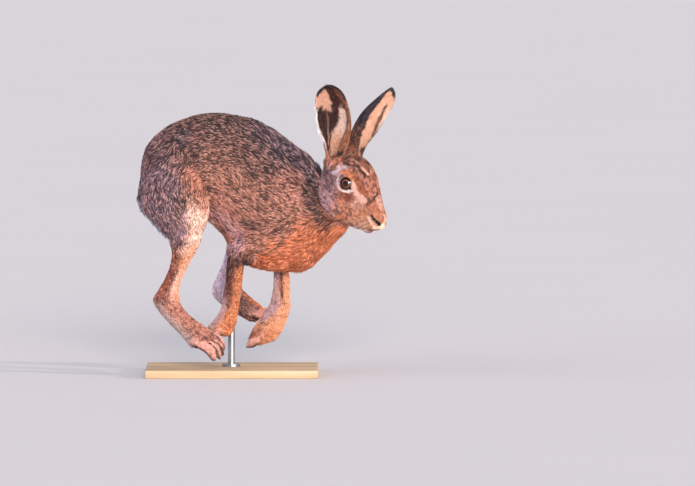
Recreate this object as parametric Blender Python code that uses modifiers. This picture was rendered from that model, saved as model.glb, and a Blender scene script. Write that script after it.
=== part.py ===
"""A brown hare at a gallop, with all four feet gathered under it, on a plain display stand.

The hare faces +X and its left side is +Y. The origin is the middle of the stand's underside.
Every form is lofted from stations, and the flesh is fused into one smooth skin. Thin cuts then
part it into head, neck, torso and the lengths of each leg. Tables are in millimetres.
"""

import math
from dataclasses import dataclass

import bmesh
import bpy
import numpy as np
from mathutils import Matrix, Vector

MM = 0.001
GAP = 0.3  # between neighbouring pieces

# Fusing, smoothing and thinning the flesh
VOXEL = 1.2
SMOOTH_ROUNDS = 7
FINE_TRIANGLES = 32000  # before each zone is thinned to its own number
ZONE_TRIANGLES = {"head": 2200, "feet": 1450, "trunk": 2400}
FEET_BELOW = 104.0
REGION_GROWTH = 3.0  # how far a region that splits off a form stands out of it
REGION_SIDE = (60.0, 42.0)  # distance from the middle and half width of a region at the body's side

# Stand
BASE_LENGTH = 250.0
BASE_WIDTH = 150.0
BASE_HEIGHT = 12.0
BASE_EDGE = 2.0
ROD_X = -1.0
ROD_RADIUS = 5.0
ROD_TOP = 252.0
COLLAR_RADIUS = 13.0
COLLAR_HEIGHT = 4.0

# Head, in its own frame: the nose is the origin, +x forward, +z up
NOSE = Vector((221.0, -80.0, 228.7))
HEAD_PITCH = 38.0
HEAD_YAW = 36.0
EYE_RADIUS = 10.2
EYE_PLACE = Vector((-72.5, 21.3, 12.0))
EYE_AXIS = Vector((0.2, 1.0, 0.1))
LID_RADIUS = 10.5
LID_THICKNESS = 2.4
LID_DISTANCE = 6.0  # of the lids' ring in front of the eyeball's middle

# Ears
EAR_THICKNESS = 3.0
EAR_STEPS = 17
EAR_ARC_POINTS = 12
EAR_ROOT_RADII = (17.0, 17.0, 17.0)
EAR_ROOT_LIFT = -3.0
NICK_AT = 0.75

CLAW_LENGTH = 4.5
CLAW_RADIUS = 1.8
ELBOW_FUR_AT = (24.0, -32.0, 172.0)
ELBOW_FUR_RADII = (20.0, 13.0, 9.5)

COLOURS = {
    "coat": ((0.30, 0.19, 0.12, 1), 0.85, 0.0),
    "ear": ((0.36, 0.24, 0.16, 1), 0.85, 0.0),
    "foot": ((0.50, 0.30, 0.17, 1), 0.85, 0.0),
    "eye": ((0.10, 0.04, 0.02, 1), 0.08, 0.0),
    "wood": ((0.50, 0.36, 0.22, 1), 0.5, 0.0),
    "steel": ((0.45, 0.45, 0.46, 1), 0.3, 1.0),
}


# Points and tables


def station(rear, front, y, half, square=2.0, egg=0.0):
    """One ring of a loft: two points of the side view, the distance from the middle and a half width.

    With an egg above nought the ring is wider towards its rear point.
    """
    return (*rear, *front, y, half, square, egg)


def smooth_rows(rows, per_span):
    """Rows of numbers on a smooth curve through the given rows."""
    rows = np.array(rows, float)
    padded = np.vstack([2 * rows[0] - rows[1], rows, 2 * rows[-1] - rows[-2]])
    found = []
    for a, b, c, d in zip(padded, padded[1:], padded[2:], padded[3:]):
        for t in np.linspace(0, 1, per_span, endpoint=False):
            bend = (2 * a - 5 * b + 4 * c - d) * t**2 + (3 * b - a - 3 * c + d) * t**3
            found.append(0.5 * (2 * b + (c - a) * t + bend))
    return np.array([*found, rows[-1]])


def signed_power(value, exponent):
    """A power that keeps the sign, which squares off a circle."""
    return math.copysign(abs(value) ** exponent, value)


def ring_points(row, sides):
    """The points of one station's ring."""
    rear, front = Vector((row[0], row[4], row[1])), Vector((row[2], row[4], row[3]))
    half, square, egg = row[5:]
    middle, axis = (rear + front) / 2, (front - rear) / 2
    points = []
    for k in range(sides):
        angle = 2 * math.pi * k / sides
        along, out = (signed_power(f(angle), 2 / square) for f in (math.cos, math.sin))
        points.append(middle + axis * along + Vector((0, half * out * (1 - egg * along), 0)))
    return points


def middle_of(points):
    """The mean of some points."""
    return sum(points, Vector()) / len(points)


def domed(rings):
    """The rings with two smaller ones past each end, so that a loft ends in a dome."""
    made = list(rings)
    for end, inner in ((0, 1), (-1, -2)):
        middle = middle_of(rings[end])
        out = (middle - middle_of(rings[inner])).normalized()
        reach = min((p - middle).length for p in rings[end]) * 0.8
        caps = []
        for angle in (35, 65):
            shrink, push = math.cos(math.radians(angle)), math.sin(math.radians(angle))
            caps.append([middle + (p - middle) * shrink + out * reach * push for p in rings[end]])
        made = [caps[1], caps[0], *made] if end == 0 else [*made, caps[0], caps[1]]
    return made


# Objects


def linked(name, mesh):
    """A new object for a mesh."""
    obj = bpy.data.objects.new(name, mesh)
    bpy.context.scene.collection.objects.link(obj)
    return obj


def loft(name, rings):
    """A closed object over rings of the same number of points."""
    sides = len(rings[0])
    points = [p * MM for ring in rings for p in ring]
    faces = [list(range(sides)), list(range(len(points) - sides, len(points)))]
    for start in range(0, len(points) - sides, sides):
        for k in range(sides):
            j = (k + 1) % sides
            faces.append((start + k, start + j, start + sides + j, start + sides + k))
    mesh = bpy.data.meshes.new(name)
    mesh.from_pydata(points, [], faces)
    made = bmesh.new()
    made.from_mesh(mesh)
    bmesh.ops.recalc_face_normals(made, faces=made.faces)
    made.to_mesh(mesh)
    made.free()
    return linked(name, mesh)


def limb(name, stations, rings_per_span=4, sides=28):
    """A smooth domed loft through stations of the side view."""
    rows = smooth_rows(stations, rings_per_span)
    return loft(name, domed([ring_points(row, sides) for row in rows]))


def grown(stations, growth):
    """Stations whose rings stand out from the given ones in the side view and in width."""
    made = []
    for rear_x, rear_z, front_x, front_z, y, half, *rest in stations:
        rear, front = Vector((rear_x, rear_z)), Vector((front_x, front_z))
        out = (front - rear).normalized() * growth
        made.append((*(rear - out), *(front + out), y, half + growth, *rest))
    return made


def side_region(stations):
    """A block over the side view of some stations, from beside the body's middle outwards."""
    rows = [(*row[:4], *REGION_SIDE, 5, 0) for row in grown(stations, REGION_GROWTH)]
    rows = [(*row[:4], math.copysign(row[4], stations[-1][4]), *row[5:]) for row in rows]
    return limb("region", rows, 2, 12)


def finger(name, path, radii, sides=12, rings_per_span=3):
    """A round form along a path of points, such as a toe or a claw."""
    rows = smooth_rows([(*p, r) for p, r in zip(path, radii)], rings_per_span)
    centres = [Vector(row[:3]) for row in rows]
    rings = []
    for i, centre in enumerate(centres):
        along = centres[min(i + 1, len(rows) - 1)] - centres[max(i - 1, 0)]
        side = along.cross(Vector((0, 0, 1))).normalized()
        up = side.cross(along).normalized()
        angles = [2 * math.pi * k / sides for k in range(sides)]
        rings.append([centre + (side * math.cos(a) + up * math.sin(a)) * rows[i][3] for a in angles])
    return loft(name, domed(rings))


def ellipsoid(name, middle, radii):
    """A stretched ball."""
    bpy.ops.mesh.primitive_uv_sphere_add(segments=20, ring_count=12, radius=1)
    obj = bpy.context.object
    obj.name = name
    scale = Matrix.Diagonal((*[r * MM for r in radii], 1))
    obj.data.transform(Matrix.Translation(Vector(middle) * MM) @ scale)
    return obj


def cylinder(name, radius, bottom, top, x=0.0):
    """An upright cylinder."""
    bpy.ops.mesh.primitive_cylinder_add(vertices=28, radius=radius * MM, depth=(top - bottom) * MM)
    obj = bpy.context.object
    obj.name = name
    obj.data.transform(Matrix.Translation(Vector((x, 0, (bottom + top) / 2)) * MM))
    return obj


def plate(centre, normal, radius):
    """A disc as thick as the gap, which parts what it crosses."""
    disc = cylinder("cut", radius, -GAP / 2, GAP / 2)
    turn = Vector(normal).to_track_quat("Z", "Y").to_matrix().to_4x4()
    disc.data.transform(Matrix.Translation(Vector(centre) * MM) @ turn)
    return disc


def settled(obj):
    """The object with its modifiers applied."""
    graph = bpy.context.evaluated_depsgraph_get()
    mesh = bpy.data.meshes.new_from_object(obj.evaluated_get(graph))
    obj.modifiers.clear()
    obj.data = mesh
    return obj


def copied(obj, swell=0.0):
    """A copy of the object, with its faces moved out by a distance in millimetres."""
    copy = linked(obj.name + "_copy", obj.data.copy())
    step = copy.modifiers.new("swell", "DISPLACE")
    step.strength = swell * MM
    step.mid_level = 0
    return settled(copy)


def joined(name, objects):
    """One object with the meshes of several, which are removed."""
    made = bmesh.new()
    for obj in objects:
        made.from_mesh(obj.data)
        bpy.data.objects.remove(obj)
    mesh = bpy.data.meshes.new(name)
    made.to_mesh(mesh)
    made.free()
    return linked(name, mesh)


def combined(obj, others, operation):
    """The object joined with or cut by each of the others, which are removed."""
    for other in others:
        step = obj.modifiers.new(operation, "BOOLEAN")
        step.operation = operation
        step.solver = "MANIFOLD"
        step.object = other
        settled(obj)
        bpy.data.objects.remove(other)
    return obj


def loose_parts(obj):
    """An object for each closed surface in the object's mesh, largest first. Crumbs are dropped."""
    source = bmesh.new()
    source.from_mesh(obj.data)
    source.verts.ensure_lookup_table()
    group = {}
    count = 0
    for start in source.verts:
        if start.index in group:
            continue
        group[start.index] = count
        waiting = [start]
        while waiting:
            for edge in waiting.pop().link_edges:
                for vertex in edge.verts:
                    if vertex.index not in group:
                        group[vertex.index] = count
                        waiting.append(vertex)
        count += 1
    parts = []
    for number in range(count):
        piece = source.copy()
        bmesh.ops.delete(piece, geom=[v for v in piece.verts if group[v.index] != number], context="VERTS")
        volume = piece.calc_volume()
        mesh = bpy.data.meshes.new("part")
        piece.to_mesh(mesh)
        piece.free()
        if volume > 50 * MM**3:
            parts.append((volume, mesh))
    source.free()
    bpy.data.objects.remove(obj)
    return [linked("part", mesh) for volume, mesh in sorted(parts, key=lambda part: -part[0])]


def largest(obj):
    """The object with only its largest closed surface kept."""
    name = obj.name
    kept, *others = loose_parts(obj)
    for other in others:
        bpy.data.objects.remove(other)
    kept.name = name
    return kept


def split_off(obj, region):
    """What the region holds of an object, and the rest of it past a gap. The region is removed."""
    inside = combined(copied(obj), [copied(region)], "INTERSECT")
    rest = combined(obj, [copied(region, GAP)], "DIFFERENCE")
    bpy.data.objects.remove(region)
    return largest(inside), largest(rest)


def centroid(obj):
    """The mean of an object's points, in millimetres."""
    return middle_of([v.co for v in obj.data.vertices]) / MM


# Trunk. The first point of a station is on the back

TRUNK = [
    station((-132, 272), (-126, 248), 0, 20),
    station((-133, 292), (-113, 238), 0, 35),
    station((-130, 316), (-95, 234), 0, 44, egg=0.05),
    station((-119, 340), (-76, 233), 0, 50, egg=0.08),
    station((-94, 362), (-58, 230), 0, 53, egg=0.10),
    station((-62, 376), (-42, 226), 0, 54, egg=0.12),
    station((-29, 382), (-27, 216), 0, 55, egg=0.14),
    station((4, 379), (-13, 202), 0, 56, egg=0.15),
    station((36, 369), (2, 180), 0, 56, egg=0.14),
    station((67, 352), (24, 160), 0, 55, egg=0.12),
    station((92, 332), (50, 152), 0, 51, egg=0.08),
    station((109, 318), (82, 150), -1, 45, egg=0.05),
    station((120, 307), (111, 155), -4, 40),
    station((127, 299), (137.5, 175.5), -9, 36),
    station((132, 293), (155.5, 194.5), -15, 32),
    station((139, 288), (168, 212), -20, 27),
]
NECK_STARTS = 12  # at this station of the trunk

TAIL = [
    station((-134, 286), (-120, 280), 0, 8),
    station((-137, 272), (-122, 266), 0, 12),
    station((-137, 257), (-118, 252), 0, 14),
    station((-133, 241), (-110, 240), 0, 14),
    station((-122, 226), (-101, 227), 0, 11),
    station((-110, 212), (-96, 215), 0, 7),
    station((-101, 203), (-93, 206), 0, 3.5),
]


# Legs. The first point of a station is at the rear


@dataclass
class Leg:
    """A leg from the hip or shoulder down, its two bends by station, and how its toes spread."""

    side: str
    names: tuple
    stations: list
    bends: tuple
    toe_root: tuple
    toe_row: tuple
    toe_way: tuple
    toe_droop: tuple
    toe_length: float
    toe_radius: float

    def middle(self, number):
        """The middle of a station's ring."""
        rear_x, rear_z, front_x, front_z, y = self.stations[number][:5]
        return Vector(((rear_x + front_x) / 2, y, (rear_z + front_z) / 2))

    def cut(self, number):
        """The plate that parts the leg at a station."""
        normal = self.middle(number + 1) - self.middle(number - 1)
        rear_x, rear_z, front_x, front_z = self.stations[number][:4]
        reach = math.hypot(front_x - rear_x, front_z - rear_z) / 2
        return plate(self.middle(number), normal, reach * 1.5)

    def toes(self):
        """Four toes, the middle two longer, that bend down at the knuckle."""
        row, way, droop = (Vector(v).normalized() for v in (self.toe_row, self.toe_way, self.toe_droop))
        made = []
        for place, reach in ((-1.5, 0.84), (-0.5, 1.0), (0.5, 1.0), (1.5, 0.84)):
            start = Vector(self.toe_root) + row * place * self.toe_radius * 1.2
            fan = (way + row * place * 0.07).normalized()
            knuckle = start + fan * self.toe_length * 0.55 * reach
            bend = knuckle + (fan + droop * 0.7).normalized() * self.toe_length * 0.25
            tip = bend + (fan * 0.4 + droop).normalized() * self.toe_length * 0.25 * reach
            radii = [self.toe_radius * f for f in (0.95, 1.0, 1.08, 1.0, 0.74)]
            made.append(([start - fan * 8, start, knuckle, bend, tip], radii))
        return made

    def flesh(self):
        """The leg and its toes as closed forms."""
        return [limb("leg", self.stations), *(finger("toe", path, radii) for path, radii in self.toes())]

    def claws(self):
        """A claw for each toe, with its root sunk in the toe."""
        made = []
        for path, _ in self.toes():
            tip, out = path[-1], (path[-1] - path[-2]).normalized()
            end = tip + out * CLAW_LENGTH - Vector((0, 0, CLAW_LENGTH / 8))
            radii = [CLAW_RADIUS, CLAW_RADIUS * 0.85, CLAW_RADIUS * 0.35]
            made.append(finger("claw", [tip - out * 3, tip + out * CLAW_LENGTH / 2, end], radii, 6, 1))
        return made


HIND_NAMES = ("thigh", "shank", "hind_foot")
FORE_NAMES = ("upper_arm", "forearm", "fore_paw")
LEGS = [
    Leg(
        "right",
        HIND_NAMES,
        [
            station((-113, 312), (-48, 336), -26, 24),
            station((-132, 276), (-35, 292), -37, 27),
            station((-128, 243), (-31, 252), -44, 26),
            station((-107, 217), (-33, 230), -48, 24),
            station((-93, 201), (-41, 209), -49, 20),
            station((-87, 184), (-49, 187), -50, 16),
            station((-89, 164), (-59, 168), -50, 13.5),
            station((-97, 144), (-70, 146), -49, 12),
            station((-106, 128), (-75, 130), -48, 11.5),
            station((-113, 113), (-75, 115), -48, 12),
            station((-106, 98), (-73, 106), -49, 12),
            station((-96, 86), (-67, 97), -51, 12.5),
            station((-83, 72), (-55, 86), -53, 13.5),
            station((-71, 60), (-42, 77), -54, 15),
            station((-61, 47), (-29, 68), -55, 16.5),
        ],
        bends=(4, 9),
        toe_root=(-41, -56, 56),
        toe_row=(0.42, 0.80, 0.42),
        toe_way=(0.88, 0, -0.47),
        toe_droop=(0.2, 0, -1),
        toe_length=32,
        toe_radius=6.8,
    ),
    Leg(
        "left",
        HIND_NAMES,
        [
            station((-112, 290), (-52, 344), 26, 24),
            station((-92, 256), (-20, 316), 37, 27),
            station((-58, 236), (8, 286), 45, 26),
            station((-30, 222), (26, 256), 50, 24),
            station((-16, 206), (32, 226), 51, 20),
            station((-9, 186), (28, 196), 51, 16.5),
            station((-14, 162), (18, 166), 51, 13.5),
            station((-21, 145), (10, 147), 50, 12),
            station((-27, 131), (6, 133), 49, 11.5),
            station((-29, 116), (6, 126), 49, 12),
            station((-21, 103), (10, 124), 51, 12),
            station((-6, 92), (17, 117), 55, 12.5),
            station((9, 82), (28, 107), 59, 13.5),
            station((23, 74), (39, 98), 62, 15),
        ],
        bends=(5, 9),
        toe_root=(36, 63, 86),
        toe_row=(0.15, 0.97, 0.1),
        toe_way=(0.92, 0.12, -0.36),
        toe_droop=(0.4, 0, -0.9),
        toe_length=32,
        toe_radius=6.8,
    ),
    Leg(
        "right",
        FORE_NAMES,
        [
            station((78, 262), (108, 250), -27, 13),
            station((54, 224), (92, 206), -30, 14),
            station((18, 208), (56, 180), -33, 14),
            station((-3, 192), (34, 180), -35, 13.5),
            station((-6, 172), (21, 166), -34, 12),
            station((-8, 154), (17, 151), -31, 11),
            station((-9, 137), (15, 134), -28, 10.4),
            station((-12, 116), (12, 113), -24, 10.4),
            station((-15, 100), (9, 94), -21, 10.6),
            station((-24, 84), (6, 77), -20, 10.8),
            station((-34, 72), (0, 62), -19, 11),
        ],
        bends=(5, 8),
        toe_root=(-20, -19, 62),
        toe_row=(0.1, 1, 0.1),
        toe_way=(-0.55, 0, -0.8),
        toe_droop=(-1, 0, -0.2),
        toe_length=20,
        toe_radius=5.2,
    ),
    Leg(
        "left",
        FORE_NAMES,
        [
            station((92, 262), (122, 250), 22, 12),
            station((82, 232), (118, 216), 25, 13),
            station((66, 206), (100, 182), 28, 13.5),
            station((58, 188), (88, 180), 29, 13.5),
            station((59, 166), (84, 164), 29, 12),
            station((60, 146), (83, 145), 28, 11),
            station((59, 122), (84, 119), 26, 11),
            station((55, 103), (84, 97), 25, 11),
            station((46, 90), (80, 81), 24, 11.5),
            station((38, 77), (72, 62), 23, 12),
            station((31, 66), (63, 50), 22, 12.5),
            station((27, 58), (50, 44), 22, 13),
        ],
        bends=(5, 7),
        toe_root=(38, 22, 51),
        toe_row=(0.1, 1, 0.1),
        toe_way=(-0.8, 0, -0.5),
        toe_droop=(-0.7, 0, -0.6),
        toe_length=16,
        toe_radius=5.8,
    ),
]


# Head. The first point of a station is on top

SKULL = [
    station((2.5, -6), (1.5, -14.5), 0, 5),
    station((0, 1), (-1, -18.5), 0, 9.5),
    station((-4, 6), (-6, -23.5), 0, 12.5, 2.2),
    station((-12, 11), (-13, -29), 0, 15.5, 2.2),
    station((-22, 17), (-24, -37), 0, 17.5, 2.2),
    station((-35, 26.5), (-37, -43), 0, 20, 2.2),
    station((-48, 36), (-50, -47), 0, 23, 2.2),
    station((-60, 42.5), (-61, -49.5), 0, 26.5, 2.2),
    station((-73, 45.5), (-73, -52), 0, 29.5, 2.1),
    station((-86, 45.5), (-86, -51.5), 0, 31, 2.1),
    station((-98, 41), (-97, -46), 0, 30, 2.1),
    station((-109, 35), (-108, -36), 0, 27),
    station((-119, 26), (-117, -22), 0, 21),
    station((-126, 15), (-124, -8), 0, 13),
]


HEAD_COVER = [
    station((8, 58), (8, -58), 0, 50, 3.5),
    station((-94, 62), (-94, -61), 0, 54, 3.5),
]


def head_frame():
    """The placing, in metres, of the head's own frame."""
    turn = Matrix.Rotation(math.radians(-HEAD_YAW), 4, "Z") @ Matrix.Rotation(math.radians(HEAD_PITCH), 4, "Y")
    return Matrix.Translation(NOSE * MM) @ turn


def on_head(objects):
    """Objects made in the head's own frame, moved to their place."""
    for obj in objects:
        obj.data.transform(head_frame())
    return objects


def eye_middle(side):
    """The middle of an eyeball, in the head's own frame."""
    return Vector((EYE_PLACE.x, side * EYE_PLACE.y, EYE_PLACE.z))


def lid_ring(side):
    """The swelling of the lids round an eye."""
    look = Vector((EYE_AXIS.x, side, EYE_AXIS.z)).normalized()
    bpy.ops.mesh.primitive_torus_add(
        major_radius=LID_RADIUS * MM, minor_radius=LID_THICKNESS * MM, major_segments=36, minor_segments=12
    )
    ring = bpy.context.object
    turn = look.to_track_quat("Z", "X").to_matrix().to_4x4()
    ring.data.transform(Matrix.Translation((eye_middle(side) + look * LID_DISTANCE) * MM) @ turn)
    return ring


def head_forms():
    """The skull and what stands out of it: cheeks, brows, lids, whisker pads and chin."""
    forms = [
        limb("skull", SKULL),
        ellipsoid("nose_pad", (-3.8, 0, 0), (5.3, 7.8, 6)),
        ellipsoid("chin", (-19, 0, -27), (12, 9, 8)),
    ]
    for side in (-1, 1):
        forms += [
            ellipsoid("cheek", (-79, side * 15, -26), (33, 17, 28)),
            ellipsoid("whisker_pad", (-13, side * 8.5, -11), (13.5, 9.5, 11.5)),
            ellipsoid("brow", (-78, side * 18.5, 25), (18, 9, 8)),
            lid_ring(side),
        ]
    return on_head(forms)


def face_cuts():
    """The eye sockets, the nostrils, the cleft of the lip and the mouth line, to be cut from the head."""
    cuts = [finger("cleft", [(3, 0, -4), (5, 0, -10), (3, 0, -17)], [1.0, 1.2, 1.0], 8)]
    for side in (-1, 1):
        nostril = [(-18, side * 17, 0), (-11, side * 14.5, -2), (-5, side * 11, -4.5), (-0.5, side * 7, -6.5)]
        cuts.append(finger("nostril", nostril, [0.9, 2.2, 2.4, 1.6], 8, 2))
        cuts.append(ellipsoid("socket", eye_middle(side), [EYE_RADIUS + GAP] * 3))
    lip = [(-31, 18, -23), (-20, 16.5, -20.5), (-8, 12.5, -19.5), (0, 6, -18.5), (2.5, 0, -17.5)]
    cuts.append(finger("mouth", lip + [(x, -y, z) for x, y, z in reversed(lip[:-1])], [1.2] * 9, 6, 2))
    return on_head(cuts)


def eyeball(name, side):
    """An eyeball."""
    bpy.ops.mesh.primitive_uv_sphere_add(segments=20, ring_count=12, radius=EYE_RADIUS * MM)
    ball = bpy.context.object
    ball.name = name
    ball.data.transform(Matrix.Translation(eye_middle(side) * MM))
    return on_head([ball])[0]


# Ears

# Part of the ear's length, radius of the curve, degrees from the back line to a rim
WIDE_EAR = [
    (0.00, 12.5, 176),
    (0.12, 14.5, 158),
    (0.27, 19.3, 132),
    (0.41, 23.4, 108),
    (0.55, 24.8, 96),
    (0.68, 25.4, 88),
    (0.80, 25.0, 80),
    (0.91, 23.0, 72),
    (0.97, 19.0, 65),
    (1.00, 13.5, 56),
]
NARROW_EAR = [
    (0.00, 11.5, 168),
    (0.12, 12.0, 148),
    (0.27, 14.2, 120),
    (0.41, 18.0, 103),
    (0.55, 20.2, 93),
    (0.68, 19.6, 84),
    (0.80, 17.9, 75),
    (0.91, 16.0, 66),
    (0.97, 12.5, 56),
    (1.00, 7.5, 46),
]


@dataclass
class Ear:
    """A rolled leaf, open along one side, along the line of its back from the root to the tip."""

    name: str
    shape: list
    back: list
    opening: tuple
    nick: float = 0.0  # degrees that a nick takes from the rear rim

    def root(self):
        """The middle of the ear's root."""
        return Vector(self.back[0]) + Vector(self.opening).normalized() * self.shape[0][1]

    def swelling(self):
        """The swelling of the head on which the ear stands, which also closes the ear's cup."""
        return ellipsoid("ear_root", self.root() + Vector((0, 0, EAR_ROOT_LIFT)), EAR_ROOT_RADII)

    def solid(self):
        """The ear as a closed shell."""
        path = smooth_rows(self.back, 8)
        lengths = np.concatenate([[0], np.cumsum(np.linalg.norm(np.diff(path, axis=0), axis=1))])
        shape = smooth_rows(self.shape, 6)
        rings = []
        for t in np.linspace(0, 1, EAR_STEPS) ** 0.85:
            before, place, ahead = (at_length(path, lengths, s) for s in (t - 0.02, t, t + 0.02))
            along = (ahead - before).normalized()
            towards = (Vector(self.opening) - along * along.dot(Vector(self.opening))).normalized()
            across = along.cross(towards)
            radius, reach = (np.interp(t, shape[:, 0], shape[:, i]) for i in (1, 2))
            rear = reach - self.nick * max(0, 1 - abs(t - NICK_AT) / 0.035)
            outer, inner = [], []
            for angle in np.radians(np.linspace(-rear, reach, EAR_ARC_POINTS)):
                way = across * math.sin(angle) - towards * math.cos(angle)
                edge = abs(angle) / math.radians(reach)
                thick = EAR_THICKNESS * (1 - 0.45 * edge**2) * (1 - 0.5 * t**3)
                outer.append(place + towards * radius + way * radius)
                inner.append(place + towards * radius + way * (radius - thick))
            rings.append(outer + inner[::-1])
        return loft(self.name, rings)


def at_length(path, lengths, part):
    """The point at a part of a path's length, also a little past its ends."""
    where = part * lengths[-1]
    point = Vector([np.interp(where, lengths, path[:, i]) for i in range(3)])
    past = where - min(max(where, 0), lengths[-1])
    return point + Vector(path[-1] - path[-2]).normalized() * past


EARS = [
    Ear(
        "ear_right",
        WIDE_EAR,
        [(153, -41, 308), (156, -41, 332), (157, -39, 354), (155, -41, 378), (148, -48, 404), (138, -58, 423)],
        opening=(-0.34, -0.94, 0.0),
        nick=16,
    ),
    Ear(
        "ear_left",
        NARROW_EAR,
        [(165, -20, 306), (169, -19, 330), (175, -17, 351), (189, -14, 375), (210, -10, 396), (232, -6, 415)],
        opening=(0.82, -0.57, -0.1),
    ),
]


# Putting it together


def zone(point):
    """The zone that a point of the flesh, in metres, belongs to."""
    place = head_frame().inverted() @ point / MM
    if place.x > -105 and abs(place.y) < 45 and place.z > -62:
        return "head"
    return "feet" if point.z < FEET_BELOW * MM else "trunk"


def fused(forms):
    """Every fleshy form as one smooth closed skin, thinned zone by zone."""
    body = joined("flesh", forms)
    remesh = body.modifiers.new("fuse", "REMESH")
    remesh.mode = "VOXEL"
    remesh.voxel_size = VOXEL * MM
    smooth = body.modifiers.new("soften", "SMOOTH")
    smooth.factor = 0.5
    smooth.iterations = SMOOTH_ROUNDS
    settled(body)
    fine = body.modifiers.new("fine", "DECIMATE")
    fine.ratio = FINE_TRIANGLES / (2 * len(body.data.polygons))
    settled(body)
    for name, target in ZONE_TRIANGLES.items():
        faces = body.data.polygons
        held = sum(zone(face.center) == name for face in faces)
        group = body.vertex_groups.new(name=name)
        group.add([v.index for v in body.data.vertices if zone(v.co) == name], 1.0, "REPLACE")
        thin = body.modifiers.new("thin", "DECIMATE")
        thin.ratio = 1 - (held - target) / len(faces)
        thin.vertex_group = name
        settled(body)
    return body


def parted_legs(body):
    """The named pieces of the legs, and the rest of the body."""
    plates = [leg.cut(number) for leg in LEGS for number in leg.bends]
    rest, *parts = loose_parts(combined(body, plates, "DIFFERENCE"))
    pieces = {}
    for leg in LEGS:
        knee, hock = leg.bends
        for name, number in ((leg.names[1], (knee + hock) // 2), (leg.names[2], len(leg.stations) - 1)):
            part = min(parts, key=lambda p: (centroid(p) - leg.middle(number)).length)
            parts.remove(part)
            part.name = f"{name}_{leg.side}"
            pieces[part.name] = part
        upper, rest = split_off(rest, side_region(leg.stations[: knee + 2]))
        upper.name = f"{leg.names[0]}_{leg.side}"
        pieces[upper.name] = upper
        foot = pieces[f"{leg.names[2]}_{leg.side}"]
        combined(foot, leg.claws(), "UNION")
    return pieces, rest


def parted_trunk(rest):
    """Head, neck and torso, from what is left when the legs are off."""
    head, rest = split_off(rest, on_head([limb("cover", HEAD_COVER, 2, 16)])[0])
    rear_x, rear_z, front_x, front_z, y = TRUNK[NECK_STARTS][:5]
    middle = Vector(((rear_x + front_x) / 2, y, (rear_z + front_z) / 2))
    across = Vector((front_x - rear_x, 0, front_z - rear_z)).cross(Vector((0, 1, 0)))
    torso, neck = loose_parts(combined(rest, [plate(middle, across, 110)], "DIFFERENCE"))
    head.name, neck.name, torso.name = "head", "neck", "torso"
    combined(head, face_cuts(), "DIFFERENCE")
    combined(torso, [cylinder("socket", ROD_RADIUS + GAP, 0, ROD_TOP + GAP, ROD_X)], "DIFFERENCE")
    return {"head": largest(head), "neck": neck, "torso": torso}


def stand():
    """The base and the rod that holds the hare up."""
    bpy.ops.mesh.primitive_cube_add(size=1)
    base = bpy.context.object
    base.name = "stand_base"
    base.data.transform(Matrix.Diagonal((BASE_LENGTH * MM, BASE_WIDTH * MM, BASE_HEIGHT * MM, 1)))
    base.data.transform(Matrix.Translation((0, 0, BASE_HEIGHT / 2 * MM)))
    edge = base.modifiers.new("edge", "BEVEL")
    edge.width = BASE_EDGE * MM
    edge.segments = 3
    settled(base)
    foot = BASE_HEIGHT + GAP
    rod = cylinder("stand_rod", ROD_RADIUS, foot, ROD_TOP, ROD_X)
    collar = cylinder("collar", COLLAR_RADIUS, foot, foot + COLLAR_HEIGHT, ROD_X)
    return {"stand_base": base, "stand_rod": combined(rod, [collar], "UNION")}


def material(name):
    """The material that suits a node's name."""
    kinds = {"eye": "eye", "ear": "ear", "hind_foot": "foot", "fore_paw": "foot", "stand_base": "wood"}
    kinds["stand_rod"] = "steel"
    kind = next((kinds[start] for start in kinds if name.startswith(start)), "coat")
    colour, roughness, metallic = COLOURS[kind]
    made = bpy.data.materials.new(name)
    made.use_nodes = True
    surface = made.node_tree.nodes["Principled BSDF"]
    surface.inputs["Base Color"].default_value = colour
    surface.inputs["Roughness"].default_value = roughness
    surface.inputs["Metallic"].default_value = metallic
    made.diffuse_color = colour
    return made


def main():
    """Builds the hare and its stand."""
    for obj in list(bpy.data.objects):
        bpy.data.objects.remove(obj)
    forms = [limb("trunk", TRUNK), *head_forms(), *(ear.swelling() for ear in EARS)]
    forms.append(ellipsoid("elbow_fur", ELBOW_FUR_AT, ELBOW_FUR_RADII))
    for leg in LEGS:
        forms += leg.flesh()
    pieces, rest = parted_legs(fused(forms))
    pieces |= parted_trunk(rest)
    around = [pieces[name] for name in ("torso", "thigh_right", "thigh_left")]
    tail = combined(limb("tail", TAIL, 2, 16), [copied(piece, GAP) for piece in around], "DIFFERENCE")
    pieces["tail"] = largest(tail)
    for ear in EARS:
        pieces[ear.name] = largest(combined(ear.solid(), [copied(pieces["head"], GAP)], "DIFFERENCE"))
    pieces["eye_right"], pieces["eye_left"] = eyeball("eye_right", -1), eyeball("eye_left", 1)
    pieces |= stand()
    whole = bpy.data.collections.new("brown_hare")
    bpy.context.scene.collection.children.link(whole)
    for name, piece in pieces.items():
        piece.name = piece.data.name = name
        piece.data.materials.clear()
        piece.data.materials.append(material(name))
        piece.data.shade_smooth()
        for old in list(piece.users_collection):
            old.objects.unlink(piece)
        whole.objects.link(piece)


main()
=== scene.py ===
"""The looks of a life-size brown hare at a gallop, on a plain display stand.

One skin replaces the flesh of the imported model. It is lofted from the stations of the solids,
fused, drawn in by the depth of the coat, and covered with tufts that follow the lie of the fur.
Stations, sizes and places are in millimetres. Finished meshes are in metres.
"""

import logging
import math
from dataclasses import dataclass
from enum import Enum, IntEnum

import bmesh
import bpy
import numpy as np
from mathutils import Matrix, Vector
from mathutils.kdtree import KDTree


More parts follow.
